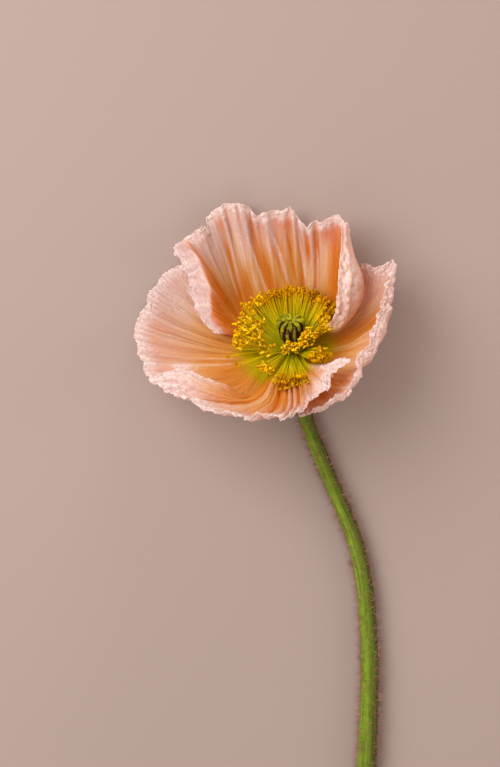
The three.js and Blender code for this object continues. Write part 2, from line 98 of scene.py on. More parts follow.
# The tall fan behind the pod, a flap folded out at its left and its right side folded in.
PETALS["petal_back"] = dict(
    claw=INNER_CLAW,
    bearings=(168, 8),
    ribs=[
        [(-12, 4.2, 8.2), (-16.5, 4.6, 10), (-21.5, 5, 11.5), (-26.2, 5.5, 12.5)],
        [(-13, 5, 8.5), (-20, 8.2, 8.8), (-26.2, 12.3, 13.5), (-28.2, 12.6, 12.6), (-31.5, 12.3, 9.5)],
        [(-14, 6.5, 7.2), (-20.5, 12.3, 7), (-26.6, 19.4, 14.5), (-29, 20, 13), (-33, 20.5, 8.5)],
        [(-14.5, 7.2, 6.6), (-20.5, 14, 5.5), (-26, 22, 9), (-30.8, 29.5, 14), (-32.8, 28.3, 12.6),
         (-35, 26.8, 9.5)],
        [(-14.8, 7.4, 6.4), (-20.5, 14.5, 4.5), (-25.5, 23, 6), (-31, 31, 11.5), (-35.2, 35.3, 13),
         (-38.5, 33.5, 7)],
        [(-14.5, 7.8, 6), (-19.5, 14.5, 3.5), (-24, 23.5, 3.5), (-28, 31, 5), (-31.5, 38.5, 6.5)],
        [(-13.5, 8.8, 5), (-18.5, 16, 2), (-22, 25, 1.2), (-25, 34, 2), (-28, 43.5, 4)],
        [(-12.5, 9.5, 4), (-15, 17, 1), (-17.5, 26, 0), (-20, 36, 1), (-23, 47, 6)],
        [(-9, 9.5, 4), (-11, 17.5, 0.5), (-13.5, 27, 0), (-15, 37, 1), (-17, 48, 6.5)],
        [(-5, 10, 4.5), (-6.5, 17.5, 1), (-8, 27, 0), (-10, 36.5, 1), (-11.5, 44.5, 5.5)],
        [(-1, 10.5, 5.5), (-1, 18, 1), (-2, 27.5, 0), (-2.5, 36.5, 1.5), (-3.5, 46, 7)],
        [(3, 10.5, 6.5), (4, 18, 2), (4, 27, 1), (3.5, 35.5, 3), (2.5, 44, 8.5)],
        [(6.5, 9.5, 8), (9.5, 16.5, 4), (10.5, 26.5, 3.5), (10.5, 35, 5), (10, 42.5, 11)],
        [(8.5, 8.5, 9), (14, 15, 9.5), (16.5, 25.5, 10), (16.5, 34.5, 11), (15, 43.5, 14.5)],
        [(10, 6.5, 11), (18, 9.5, 14), (22.5, 16, 17), (23, 23, 19), (20, 31, 19.5), (18, 40, 18.5)],
        [(9, 5, 12.5), (15, 5.5, 17), (18.5, 10.5, 22), (19.5, 19, 26), (19, 27.5, 26),
         (17.5, 35.5, 23), (18, 41, 20.5)],
        [(8, 4, 14), (11.6, 7.2, 20.2), (14, 11.2, 24), (14.6, 16.5, 27), (15, 23.5, 28),
         (15.5, 30, 27.5), (16, 36, 25), (15.5, 41, 22)],
    ],
    pleats=[
        (0, 0, 0), (0.03, 0.03, 0.18), (0.055, 0.055, -0.15), (0.08, 0.08, 0.18), (0.105, 0.105, -0.12),
        (0.13, 0.13, 0.21), (0.16, 0.155, -0.15), (0.19, 0.185, 0.21), (0.22, 0.215, -0.18),
        (0.25, 0.245, 0.24), (0.269, 0.269, -0.06), (0.275, 0.275, -0.12), (0.281, 0.281, 0.1),
        (0.301, 0.293, 0.3), (0.326, 0.318, 0.45), (0.35, 0.342, 0.45), (0.383, 0.387, 0.3),
        (0.407, 0.403, 0.06), (0.419, 0.415, -0.24), (0.431, 0.431, 0.3), (0.46, 0.443, -0.73),
        (0.488, 0.472, 0.68), (0.517, 0.508, 0.73), (0.541, 0.529, -0.92), (0.553, 0.549, -0.2),
        (0.565, 0.565, -0.86), (0.582, 0.582, 0.68), (0.606, 0.602, -0.3), (0.626, 0.63, 0.6),
        (0.647, 0.651, -0.4), (0.667, 0.665, 0.67), (0.685, 0.677, -0.86), (0.693, 0.691, 0.5),
        (0.708, 0.701, -0.3), (0.717, 0.714, 0.7), (0.73, 0.728, -0.8), (0.744, 0.742, 0.68),
        (0.764, 0.764, 0.5), (0.793, 0.797, -0.73), (0.829, 0.829, 0.2), (0.886, 0.886, 0),
        (0.927, 0.927, 0.7), (0.951, 0.951, -0.3), (0.976, 0.976, 0.4), (1, 1, 0),
    ],
    notches=[
        (0, 0), (0.05, 0.1), (0.085, 0.3), (0.1, 1.2), (0.11, 2.6), (0.12, 1.4), (0.13, -0.2),
        (0.16, 0.4), (0.19, -0.2), (0.22, 0.5), (0.25, 0.2), (0.275, 0.6), (0.318, 1), (0.342, 0.2),
        (0.358, -3), (0.366, 0.3), (0.399, 0.7), (0.435, 0.2), (0.46, 0.7), (0.488, 0.2), (0.517, 0.8),
        (0.537, 0.6), (0.561, -0.6), (0.582, 0.9), (0.602, 0.3), (0.622, -0.2), (0.643, 1), (0.655, 1.9),
        (0.671, 1.9), (0.682, -1), (0.708, -3.6), (0.72, -1.4), (0.744, 0), (0.797, 0.2), (0.838, 0),
        (1, 0),
    ],
    orange_shade_patches=[
        (0, 0.72, 0.06, 0.4, 1.3), (0.07, 0.62, 0.05, 0.3, 1.3), (0.16, 0.5, 0.06, 0.28, 1.2),
        (0.235, 0.42, 0.05, 0.24, 1.2), (0.29, 0.36, 0.05, 0.22, 1.2), (0.25, 0.68, 0.012, 0.16, 0.8),
        (0.2, 0.8, 0.012, 0.1, 0.5), (0.399, 0.36, 0.05, 0.24, 1.3), (0.46, 0.42, 0.026, 0.2, 1.1),
        (0.513, 0.35, 0.041, 0.1, 0.8), (0.622, 0.6, 0.01, 0.3, 0.5), (0.635, 0.95, 0.022, 0.14, 1.1),
        (0.545, 0.95, 0.022, 0.09, 0.6), (0.43, 0.95, 0.03, 0.1, 1), (0.77, 0.92, 0.035, 0.12, 1.1),
        (0.683, 0.5, 0.01, 0.2, 0.6), (0.705, 0.75, 0.01, 0.15, 0.9), (0.73, 0.6, 0.011, 0.3, 1.2),
        (0.764, 0.3, 0.024, 0.12, 0.8), (0.797, 0.72, 0.024, 0.45, 1.3), (0.537, 0.97, 0.024, 0.07, 0.6),
        (0.594, 0.3, 0.244, 0.1, 0.8), (0.36, 0.3, 0.12, 0.2, 1.2),
    ],
    pale_lit_patches=[
        (0.07, 0.95, 0.05, 0.06, 1), (0.14, 0.95, 0.06, 0.06, 1), (0.21, 0.97, 0.05, 0.06, 1),
        (0.31, 0.88, 0.04, 0.16, 0.9), (0.36, 0.82, 0.025, 0.2, 0.9), (0.5, 0.8, 0.023, 0.22, 0.8),
        (0.391, 0.85, 0.016, 0.2, 0.6), (0.943, 0.6, 0.057, 0.8, 1.2), (0.87, 0.6, 0.024, 0.6, 0.9),
        (0.72, 0.55, 0.005, 0.25, 0.6), (0.756, 0.6, 0.01, 0.2, 0.5), (0.594, 0.9, 0.012, 0.12, 0.6),
        (0.504, 0.5, 0.012, 0.1, 0.6), (0.675, 0.9, 0.016, 0.1, 0.5),
    ],
    creases=[
        (0.569, 0.507, 0.25, 0.88, 0.021, 1.7), (0.426, 0.412, 0.25, 0.76, 0.012, 1.2),
        (0.637, 0.578, 0.25, 0.8, 0.006, 0.9), (0.624, 0.562, 0.3, 0.95, 0.008, 0.7),
        (0.665, 0.62, 0.25, 0.85, 0.006, 0.9), (0.69, 0.684, 0.25, 0.85, 0.006, 1.1),
        (0.728, 0.715, 0.25, 0.75, 0.008, 1.2),
    ],
    crests=[
        (0.635, 0.575, 0.45, 1, 0.005, 1), (0.7, 0.668, 0.5, 1, 0.005, 1),
        (0.42, 0.435, 0.55, 1, 0.005, 0.9), (0.545, 0.486, 0.4, 1, 0.006, 0.9),
        (0.705, 0.7, 0.25, 0.65, 0.007, 0.8), (0.738, 0.726, 0.3, 0.7, 0.005, 0.9),
        (0.4, 0.39, 0.5, 1, 0.006, 0.8), (0.49, 0.455, 0.62, 1, 0.026, 0.9),
        (0.3, 0.31, 0.65, 1, 0.008, 0.7), (0.345, 0.35, 0.55, 1, 0.008, 0.6),
        (0.605, 0.56, 0.72, 1, 0.01, 0.5),
    ],
    turned=[(0, 1), (0.063, 0.787), (0.125, 0.771), (0.188, 0.85), (0.25, 0.875), (0.29, 1.05), (1, 1.05)],
    frills=[
        (0.06, 0.98, 0.07, 0.08, 0.9), (0.16, 0.98, 0.06, 0.08, 1), (0.23, 1, 0.04, 0.08, 1),
        (1, 0.45, 0.03, 0.35, 2), (0.965, 0.62, 0.03, 0.35, 1.8), (0.93, 0.6, 0.04, 0.25, 1.3),
    ],
    claw_reach=(8, 17),
    frill=0.9,
    spare=0.05,
    cap=0.55,
    seed=3,
)

# The outer petal that lies nearly flat at the left.
PETALS["petal_left"] = dict(
    claw=OUTER_CLAW,
    bearings=(128, 246),
    ribs=[
        [(-10, 3.5, 6), (-20, 10.5, 2), (-28, 20, 0), (-36, 28.5, 0)],
        [(-11, 2.5, 7.2), (-22, 8, 3.8), (-32.5, 16.5, 0.5), (-42, 25, 0)],
        [(-12, 1.5, 8.5), (-23, 5.5, 5.5), (-35, 13, 1.5), (-45.5, 20, 1)],
        [(-13, 0.5, 9.5), (-24, 3.5, 6.5), (-37, 9, 2.5), (-48, 15.5, 2.5)],
        [(-13, -1, 11), (-24.5, 0.5, 8), (-38, 4.5, 4.5), (-51, 9, 4.5)],
        [(-13, -2.5, 13), (-24, -2, 10.5), (-38, -0.5, 7.5), (-51.5, 3, 8)],
        [(-12, -3.5, 14.5), (-23, -5, 13.5), (-36.5, -5, 11.5), (-49, -4, 13)],
        [(-11, -4.5, 15.5), (-20.5, -9, 17.5), (-33.5, -10, 17.5), (-46.5, -9.5, 20)],
        [(-10, -7, 15.5), (-17, -13, 22), (-25.5, -16, 26), (-35, -14, 27)],
        [(-8, -9.5, 15.5), (-11.5, -16, 23.5), (-17, -18.5, 28.5), (-25, -18, 30)],
    ],
    pleats=[
        (0, 0, 0), (0.06, 0.05, 0.3), (0.12, 0.11, -0.3), (0.17, 0.17, 0.4), (0.22, 0.23, -0.3),
        (0.27, 0.28, 0.3), (0.33, 0.33, -0.4), (0.38, 0.38, 0.4), (0.43, 0.44, -0.5), (0.48, 0.49, 0.4),
        (0.52, 0.53, -0.2), (0.56, 0.58, 0.5), (0.62, 0.63, -0.5), (0.68, 0.68, 0.7), (0.72, 0.72, -0.3),
        (0.76, 0.76, 0.6), (0.82, 0.81, -0.4), (0.88, 0.87, 0.4), (0.94, 0.94, -0.2), (1, 1, 0),
    ],
    notches=[
        (0, 0), (0.1, 0.3), (0.2, 0.1), (0.25, 1), (0.3, 0.9), (0.34, -0.4), (0.385, 0.1), (0.445, 0.3),
        (0.53, 0.2), (0.58, -0.1), (0.62, 0.3), (0.69, -0.1), (0.76, 0.3), (1, 0),
    ],
    orange_shade_patches=[
        (0.44, 0.78, 0.03, 0.14, 0.6), (0.57, 0.68, 0.04, 0.16, 0.45), (0.75, 0.42, 0.12, 0.14, 0.5),
        (0.88, 0.45, 0.08, 0.18, 0.5), (0.36, 0.5, 0.05, 0.2, 0.25), (0.62, 0.45, 0.08, 0.12, 0.5),
    ],
    pale_lit_patches=[
        (0.15, 0.85, 0.2, 0.3, 0.6), (0.68, 0.72, 0.025, 0.1, 0.9), (0.745, 0.72, 0.025, 0.1, 0.9),
        (0.25, 0.75, 0.06, 0.1, 0.8), (0.5, 1, 0.5, 0.12, 0.8), (0.8, 0.85, 0.1, 0.1, 0.6),
        (0.45, 0.68, 0.22, 0.2, 0.4),
    ],
    creases=[(0.4, 0.42, 0.3, 0.85, 0.008, 0.5), (0.52, 0.53, 0.35, 0.85, 0.008, 0.6)],
    crests=[
        (0.3, 0.31, 0.3, 0.95, 0.008, 0.5), (0.47, 0.48, 0.3, 0.95, 0.008, 0.6),
        (0.6, 0.61, 0.3, 0.9, 0.008, 0.6), (0.68, 0.68, 0.3, 0.8, 0.01, 0.7),
    ],
    turned=[(0, 1.05), (1, 1.05)],
    frills=[(0.7, 0.72, 0.03, 0.08, 1), (0.745, 0.74, 0.02, 0.06, 1), (0.2, 0.8, 0.15, 0.12, 0.4)],
    claw_reach=(7, 16.5),
    frill=0.55,
    spare=0.09,
    cap=0.55,
    seed=5,
)

# The inner petal before the pod, cupped up, with its right edge curled over its neighbour.
PETALS["petal_front"] = dict(
    claw=INNER_CLAW,
    bearings=(212, 322),
    ribs=[
        [(-8, -8.5, 22), (-10, -12, 25), (-13.5, -15, 28), (-17.5, -14.5, 29.5), (-21.5, -12, 30.5),
         (-26, -10.5, 31), (-31, -8.5, 31), (-36, -6.5, 30)],
        [(-7.5, -9.5, 23), (-10, -13.5, 27), (-15, -16.5, 30), (-21.5, -15.5, 33), (-28.5, -13, 34),
         (-37, -9, 33.5), (-45.5, -10, 33)],
        [(-7.5, -9.5, 24), (-10, -14.5, 29), (-15.5, -17, 32.5), (-23, -17.5, 35.5), (-31.5, -15, 36.5),
         (-41, -12.5, 37)],
        [(-6.5, -10, 25), (-9.5, -15.5, 31), (-14, -18.5, 35.5), (-20.5, -19, 39.5), (-28, -18, 41),
         (-34.5, -17, 41.5)],
        [(-5.5, -10.5, 26), (-7.5, -16.5, 33), (-11.5, -19, 39), (-16, -20.5, 43.5), (-22, -20.5, 46.5),
         (-27, -19.5, 47.5)],
        [(-4, -11, 27), (-5.5, -17, 35.5), (-8, -20, 43), (-12, -21.5, 48.5), (-16.5, -21.5, 51.5)],
        [(-2, -11.5, 27.5), (-3, -17.5, 37), (-4.5, -20.5, 46.5), (-7.5, -21.5, 52), (-10.5, -21.5, 54.5)],
        [(-0.5, -11, 27.5), (-0.5, -16.5, 37.5), (-1, -20, 46.5), (-2.5, -21.5, 53), (-4, -22.5, 55.5)],
        [(1.5, -10.5, 27.5), (2, -14.5, 36.5), (2, -18, 44.5), (1, -19.5, 50), (-0.5, -21.5, 53.5)],
        [(2.5, -9.5, 27), (3.5, -13, 35), (3.5, -15.5, 43), (4, -17.5, 47.5), (3.5, -19, 50)],
        [(3.5, -8.5, 26), (5, -11, 33), (5.5, -13.5, 40), (6.5, -15, 44), (6.5, -15.5, 46)],
        [(4.5, -7, 24.5), (6, -8.5, 31), (7.5, -10.5, 37), (10, -12, 41), (11, -13, 43)],
        [(4.5, -5.5, 23), (7, -6.5, 28.5), (10, -7.5, 34), (12.5, -8.5, 38), (12.5, -9, 40)],
        [(4.5, -4.5, 22), (8, -5.5, 26), (11, -5.5, 29.5), (14.5, -3.5, 33.5), (18, -4, 38)],
    ],
    pleats=[
        (0, 0, 0), (0.05, 0.05, 0.5), (0.1, 0.1, 0.1), (0.16, 0.16, -1.3), (0.25, 0.22, 0.8),
        (0.29, 0.27, 0.3), (0.32, 0.31, -0.6), (0.36, 0.35, 0.2), (0.4, 0.39, -1), (0.46, 0.45, 0.5),
        (0.49, 0.48, -0.5), (0.52, 0.51, 0.8), (0.545, 0.54, -0.6), (0.57, 0.57, 0.9), (0.6, 0.6, -0.8),
        (0.63, 0.63, 0.4), (0.67, 0.67, -0.5), (0.72, 0.72, 0.5), (0.77, 0.77, -0.4), (0.82, 0.82, 0.5),
        (0.87, 0.87, -0.3), (0.93, 0.93, 0.5), (1, 1, 0),
    ],
    notches=[
        (0, 0), (0.1, 0.2), (0.15, -0.3), (0.2, 0.5), (0.24, -0.5), (0.3, 0.3), (0.34, 0.3), (0.37, -0.6),
        (0.42, -0.3), (0.47, 0.1), (0.5, -0.6), (0.545, 0.4), (0.6, -0.3), (0.7, 0.4), (0.75, -0.4),
        (0.82, 0.4), (0.88, -0.2), (1, 0),
    ],
    orange_shade_patches=[
        (0, 0.42, 0.09, 0.26, 0.9), (0.15, 0.5, 0.035, 0.3, 1), (0.17, 0.25, 0.05, 0.12, 0.9),
        (0.4, 0.5, 0.05, 0.22, 1), (0.33, 0.8, 0.03, 0.12, 0.5), (0.49, 0.55, 0.012, 0.2, 0.8),
        (0.6, 0.55, 0.02, 0.2, 1), (0.545, 0.5, 0.01, 0.2, 0.6), (0.45, 0.35, 0.2, 0.08, 0.5),
    ],
    pale_lit_patches=[
        (0.03, 0.92, 0.1, 0.16, 0.9), (0.14, 0.95, 0.12, 0.16, 1), (0.26, 0.95, 0.06, 0.08, 0.7),
        (0.25, 0.4, 0.02, 0.2, 0.6), (0.52, 0.6, 0.012, 0.25, 0.9), (0.57, 0.6, 0.012, 0.25, 0.9),
        (0.88, 0.93, 0.12, 0.07, 0.6), (0.45, 0.98, 0.1, 0.06, 0.8), (0.97, 0.6, 0.05, 0.35, 0.9),
    ],
    creases=[
        (0.195, 0.2, 0.12, 0.72, 0.018, 1.3), (0.4, 0.39, 0.15, 0.75, 0.016, 1.2),
        (0.49, 0.48, 0.25, 0.8, 0.008, 0.9), (0.545, 0.54, 0.25, 0.8, 0.007, 0.9),
        (0.6, 0.6, 0.25, 0.85, 0.008, 1.1),
    ],
    crests=[
        (0.27, 0.24, 0.15, 0.8, 0.016, 0.6), (0.35, 0.33, 0.25, 0.8, 0.01, 0.5),
        (0.52, 0.51, 0.25, 0.9, 0.009, 0.8), (0.57, 0.57, 0.25, 0.9, 0.008, 0.8),
    ],
    turned=[(0, 1.05), (1, 1.05)],
    frills=[
        (0.98, 0.75, 0.05, 0.3, 1.7), (0.88, 0.9, 0.08, 0.12, 1.5), (0, 0.88, 0.05, 0.16, 1.2),
        (0.08, 0.92, 0.1, 0.18, 1.3), (0.22, 0.97, 0.1, 0.08, 1),
    ],
    claw_reach=(9.5, 18),
    frill=1,
    spare=0.1,
    cap=0.6,
    seed=8,
)

# The outer petal at the right, with a thick crinkled rim that curls inward.
PETALS["petal_right"] = dict(
    claw=OUTER_CLAW,
    bearings=(402, 288),
    ribs=[
        [(8, 4, 7.5), (15.5, 11.5, 5), (20.5, 19.5, 5), (23.5, 28, 7.5)],
        [(9, 3.5, 8), (17, 10.5, 6.5), (23, 18, 8.5), (26.5, 26.5, 12.5)],
        [(9.5, 2.5, 9), (18.5, 8.5, 8), (25.5, 16.5, 12.5), (28.5, 22, 17), (28.5, 26.5, 20)],
        [(10, 1.5, 9.5), (19.5, 7, 9.5), (27.5, 14.5, 15), (32, 22.5, 20.5), (33, 28, 21.5)],
        [(10, 0.5, 10.5), (20, 4.5, 11.5), (28.5, 12, 17.5), (32.5, 19, 24.5), (30, 20, 28)],
        [(10, -0.5, 11.5), (19.5, 1, 13.5), (28, 6.5, 20.5), (32, 13, 27.5), (28.5, 13.5, 31)],
        [(9, -2.5, 13), (18, -2, 17.5), (25.5, 0, 25), (30, 7, 31.5), (26.5, 8.5, 34.5)],
        [(8, -3.5, 14), (16, -5, 20.5), (22.5, -4, 29.5), (27, -0.5, 35.5), (24.5, 2.5, 37.5)],
        [(6.5, -5, 14.5), (12, -8.5, 24.5), (18.5, -9, 32.5), (22.5, -6, 37.5), (20.5, -4, 39)],
        [(4.5, -6.5, 15.5), (7.5, -13, 26.5), (13, -15.5, 35.5), (18.5, -14, 39.5), (18.5, -11.5, 41.5)],
        [(3, -7, 16), (4.5, -13, 27), (8, -17.5, 36.5), (13.5, -17.5, 40), (14, -15.5, 42)],
        [(2, -7.5, 16), (2.5, -13, 27.5), (4, -18, 37.5), (8, -20, 40.5), (8.5, -18.5, 42)],
        [(1, -7.5, 16.5), (0.5, -13.5, 27.5), (1, -18.5, 38.5), (2.5, -22, 41.5)],
    ],
    pleats=[
        (0, 0, 0), (0.05, 0.04, 0.3), (0.09, 0.08, -0.3), (0.13, 0.13, 0.3), (0.17, 0.17, -0.3),
        (0.21, 0.22, 0.4), (0.27, 0.27, -0.4), (0.31, 0.31, 0.2), (0.36, 0.36, -0.4), (0.4, 0.4, 0.7),
        (0.43, 0.43, -0.3), (0.47, 0.47, 0.5), (0.52, 0.52, -0.4), (0.57, 0.57, 0.4), (0.62, 0.62, -0.4),
        (0.66, 0.66, 0.4), (0.7, 0.7, -0.5), (0.74, 0.74, 0.5), (0.78, 0.78, -0.4), (0.84, 0.84, 0.4),
        (0.9, 0.9, -0.3), (1, 1, 0),
    ],
    notches=[
        (0, 0), (0.05, 0.6), (0.1, -0.2), (0.14, 0.4), (0.2, 0.3), (0.25, 0.3), (0.3, -0.4), (0.35, 0.5),
        (0.4, -0.3), (0.45, 0.5), (0.5, -0.5), (0.55, 0.5), (0.6, -0.4), (0.65, 0.3), (0.7, -0.5),
        (0.75, 0.4), (0.8, -0.3), (0.85, 0.4), (0.9, -0.3), (0.95, 0.4), (1, 0),
    ],
    orange_shade_patches=[
        (0.31, 0.48, 0.04, 0.16, 0.8), (0.37, 0.6, 0.03, 0.15, 0.5), (0.3, 0.3, 0.06, 0.15, 0.6),
        (0.74, 0.58, 0.06, 0.14, 0.6), (0.86, 0.68, 0.08, 0.16, 0.5), (0.66, 0.7, 0.04, 0.12, 0.6),
        (0.08, 0.85, 0.05, 0.1, 0.4),
    ],
    pale_lit_patches=[
        (0.5, 1, 0.5, 0.17, 1), (0.54, 0.62, 0.1, 0.25, 0.95), (0.43, 0.45, 0.025, 0.3, 0.8),
        (0.17, 0.92, 0.05, 0.2, 0.9), (0, 0.8, 0.04, 0.3, 0.5), (0.24, 1, 0.06, 0.12, 0.9),
        (0.22, 0.62, 0.08, 0.25, 0.9), (0.13, 0.6, 0.12, 0.4, 1), (0.74, 0.82, 0.12, 0.14, 0.6),
    ],
    creases=[(0.34, 0.34, 0.2, 0.8, 0.01, 0.6), (0.46, 0.46, 0.2, 0.7, 0.01, 0.5)],
    crests=[(0.4, 0.4, 0.2, 0.8, 0.01, 0.7), (0.3, 0.3, 0.3, 0.85, 0.008, 0.4)],
    turned=[(0, 1.05), (1, 1.05)],
    frills=[(0.24, 0.95, 0.06, 0.1, 0.7), (0.42, 0.97, 0.3, 0.08, 1.6), (0.8, 0.98, 0.2, 0.06, 1.2)],
    claw_reach=(5, 11),
    frill=1,
    spare=0.09,
    cap=0.55,
    seed=13,
)
SLANT_FROM = 0.4  # way up at which a pleat or a line lies at its low place
ROW_CROWDING = 0.45  # how much closer together a rib's points come toward the rim

# The crumple is settled on finer and finer grids: points across, points along, rounds, and the
# share of the petal's spare cloth that each grid takes up.
CRUMPLE_GRIDS = [(56, 26, 60, 0.6), (130, 58, 60, 0.9), (300, 130, 60, 1.15)]
FIRST_WOBBLE = 0.3  # height of the random start on the first grid, and of the grain on later ones
LATER_WOBBLE = 0.06

FRILL_DEPTH = 5.5  # width of the crinkled band along the rim
# Random bumps: how many fit across and along the petal, and their height.
RIM_RUFFLES = [((60, 26), 0.17), ((110, 44), 0.20), ((150, 70), 0.09)]
FLAP_RIDGES = ((44, 60), 0.35)
FINE_PLEATS = ((95, 5), 0.07)
RAGGED_EDGE = ((110, 30), 0.15)


def smooth_step(value, low, high):
    """0 below low, 1 above high, with a soft way between."""
    way = np.clip((value - low) / (high - low), 0, 1)
    return way * way * (3 - 2 * way)


def through(stations, count):
    """A smooth curve through evenly spaced stations, at count even steps."""
    stations = np.asarray(stations, float)
    last = len(stations) - 1
    at = np.linspace(0, last, count)
    span = np.minimum(at.astype(int), last - 1)
    part = (at - span).reshape((-1,) + (1,) * (stations.ndim - 1))
    padded = np.concatenate([
        2 * stations[:1] - stations[1:2],
        stations,
        2 * stations[-1:] - stations[-2:-1],
    ])
    p0, p1, p2, p3 = (padded[span + k] for k in range(4))
    cubic = (3 * p1 - p0 - 3 * p2 + p3) * part**3 + (2 * p0 - 5 * p1 + 4 * p2 - p3) * part**2
    return 0.5 * (2 * p1 + (p2 - p0) * part + cubic)


def rows(count):
    """Places along a rib, closer together toward the rim."""
    even = np.linspace(0, 1, count)
    return (1 + ROW_CROWDING) * even - ROW_CROWDING * even * even


def along_curve(curve):
    """The distance of each point of a curve from its start."""
    return np.concatenate([[0], np.cumsum(np.linalg.norm(np.diff(curve, axis=0), axis=1))])


def spaced(curve, count):
    """Points along a fine curve, closer together toward its end."""
    run = along_curve(curve)
    at = rows(count) * run[-1]
    return np.stack([np.interp(at, run, curve[:, k]) for k in range(3)], -1)


def spread(grid, across, along):
    """The same sheet on a finer grid."""
    return np.swapaxes(through(np.swapaxes(through(grid, across), 0, 1), along), 0, 1)


def random_heights(rng, cells, across, along):
    """Smooth random heights over a sheet, from so many cells across and along."""
    return spread(rng.normal(size=(*cells, 1)), across, along)[..., 0]


def facing(sheet):
    """The sheet's unit normals, on the side that faces into the bloom."""
    normal = np.cross(np.gradient(sheet, axis=0), np.gradient(sheet, axis=1))
    normal /= np.linalg.norm(normal, axis=-1, keepdims=True) + 1e-12
    return normal if (normal @ axis).mean() > 0 else -normal


def slanted(low, high, up):
    """The place of a slanting pleat or line at a way up the petal."""
    return low + (high - low) * (up - SLANT_FROM) / (1 - SLANT_FROM)


def patches(marks, place, up):
    """How strongly each point of a petal is marked by a list of soft patches."""
    out = np.zeros_like(place)
    for at, height, width, length, strength in marks:
        near = np.exp(-((place - at) / width) ** 2 - ((up - height) / length) ** 2)
        out = np.maximum(out, strength * near)
    return out


def lines(marks, place, up):
    """How strongly each point of a petal is marked by a list of narrow lengthwise lines."""
    out = np.zeros_like(place)
    for low, high, start, end, width, strength in marks:
        ends = smooth_step(up, start - 0.1, start + 0.05) * (1 - smooth_step(up, end - 0.08, end + 0.08))
        near = np.exp(-((place - slanted(low, high, up)) / width) ** 2)
        out = np.maximum(out, strength * ends * near)
    return out


def pleat_height(pleats, place, up):
    """The height of the large pleats over the petal's smooth surface."""
    low, high, heights = np.array(pleats, float).T
    out = np.empty_like(place)
    for row in range(place.shape[1]):
        out[:, row] = np.interp(place[:, row], slanted(low, high, up[0, row]), heights)
    for _ in range(max(1, len(place) // 110)):
        out[1:-1] = 0.25 * out[:-2] + 0.5 * out[1:-1] + 0.25 * out[2:]
    return out * smooth_step(up, 0.1, 0.5)


def pull(one, other, rest, strength):
    """Moves two lines of points towards their right distance from each other."""
    apart = other - one
    length = np.sqrt((apart * apart).sum(-1)) + 1e-9
    step = (0.5 * strength * (1 - rest / length))[..., None] * apart
    one += step
    other -= step


def crumple(sheet, base, spare_across, spare_along, cap, rounds):
    """Lets a sheet that is larger than the space it has buckle into wrinkles about its base."""
    across = np.diff(base, axis=0) * (1 + spare_across[1:, :, None])
    along = np.diff(base, axis=1) * (1 + spare_along[:, 1:, None])
    rest_across = np.linalg.norm(across, axis=-1)
    rest_along = np.linalg.norm(along, axis=-1)
    half_across = 0.5 * (across[:, 1:] + across[:, :-1])
    half_along = 0.5 * (along[1:] + along[:-1])
    rest_one = np.linalg.norm(half_across + half_along, axis=-1)
    rest_two = np.linalg.norm(half_across - half_along, axis=-1)
    for _ in range(rounds):
        for first in (0, 1):
            right = sheet[first + 1 :: 2]
            left = sheet[first:-1:2][: len(right)]
            above = sheet[:, first + 1 :: 2]
            below = sheet[:, first:-1:2][:, : above.shape[1]]
            pull(left, right, rest_across[first::2], 1.0)
            pull(below, above, rest_along[:, first::2], 1.0)
            pull(left[:, :-1], right[:, 1:], rest_one[first::2], 0.5)
            pull(left[:, 1:], right[:, :-1], rest_two[first::2], 0.5)
        soft = np.zeros_like(sheet)
        soft[1:-1] += sheet[2:] + sheet[:-2] - 2 * sheet[1:-1]
        soft[:, 1:-1] += sheet[:, 2:] + sheet[:, :-2] - 2 * sheet[:, 1:-1]
        sheet += 0.025 * soft
        off = sheet - base
        far = np.linalg.norm(off, axis=-1) + 1e-9
        keep = 1 - 0.01 - 0.6 * np.maximum(far - cap, 0) / far
        sheet[:] = base + off * keep[..., None]
        sheet[:, 0] = base[:, 0]
    return sheet


def rest_on_floor(sheet, softness=0.45):
    """Flattens a sheet softly where it would go through the floor."""
    low = FLOOR + PETAL_THICKNESS
    out = sheet.copy()
    out[..., 2] = low + softness * np.logaddexp(0, (out[..., 2] - low) / softness)
    return out


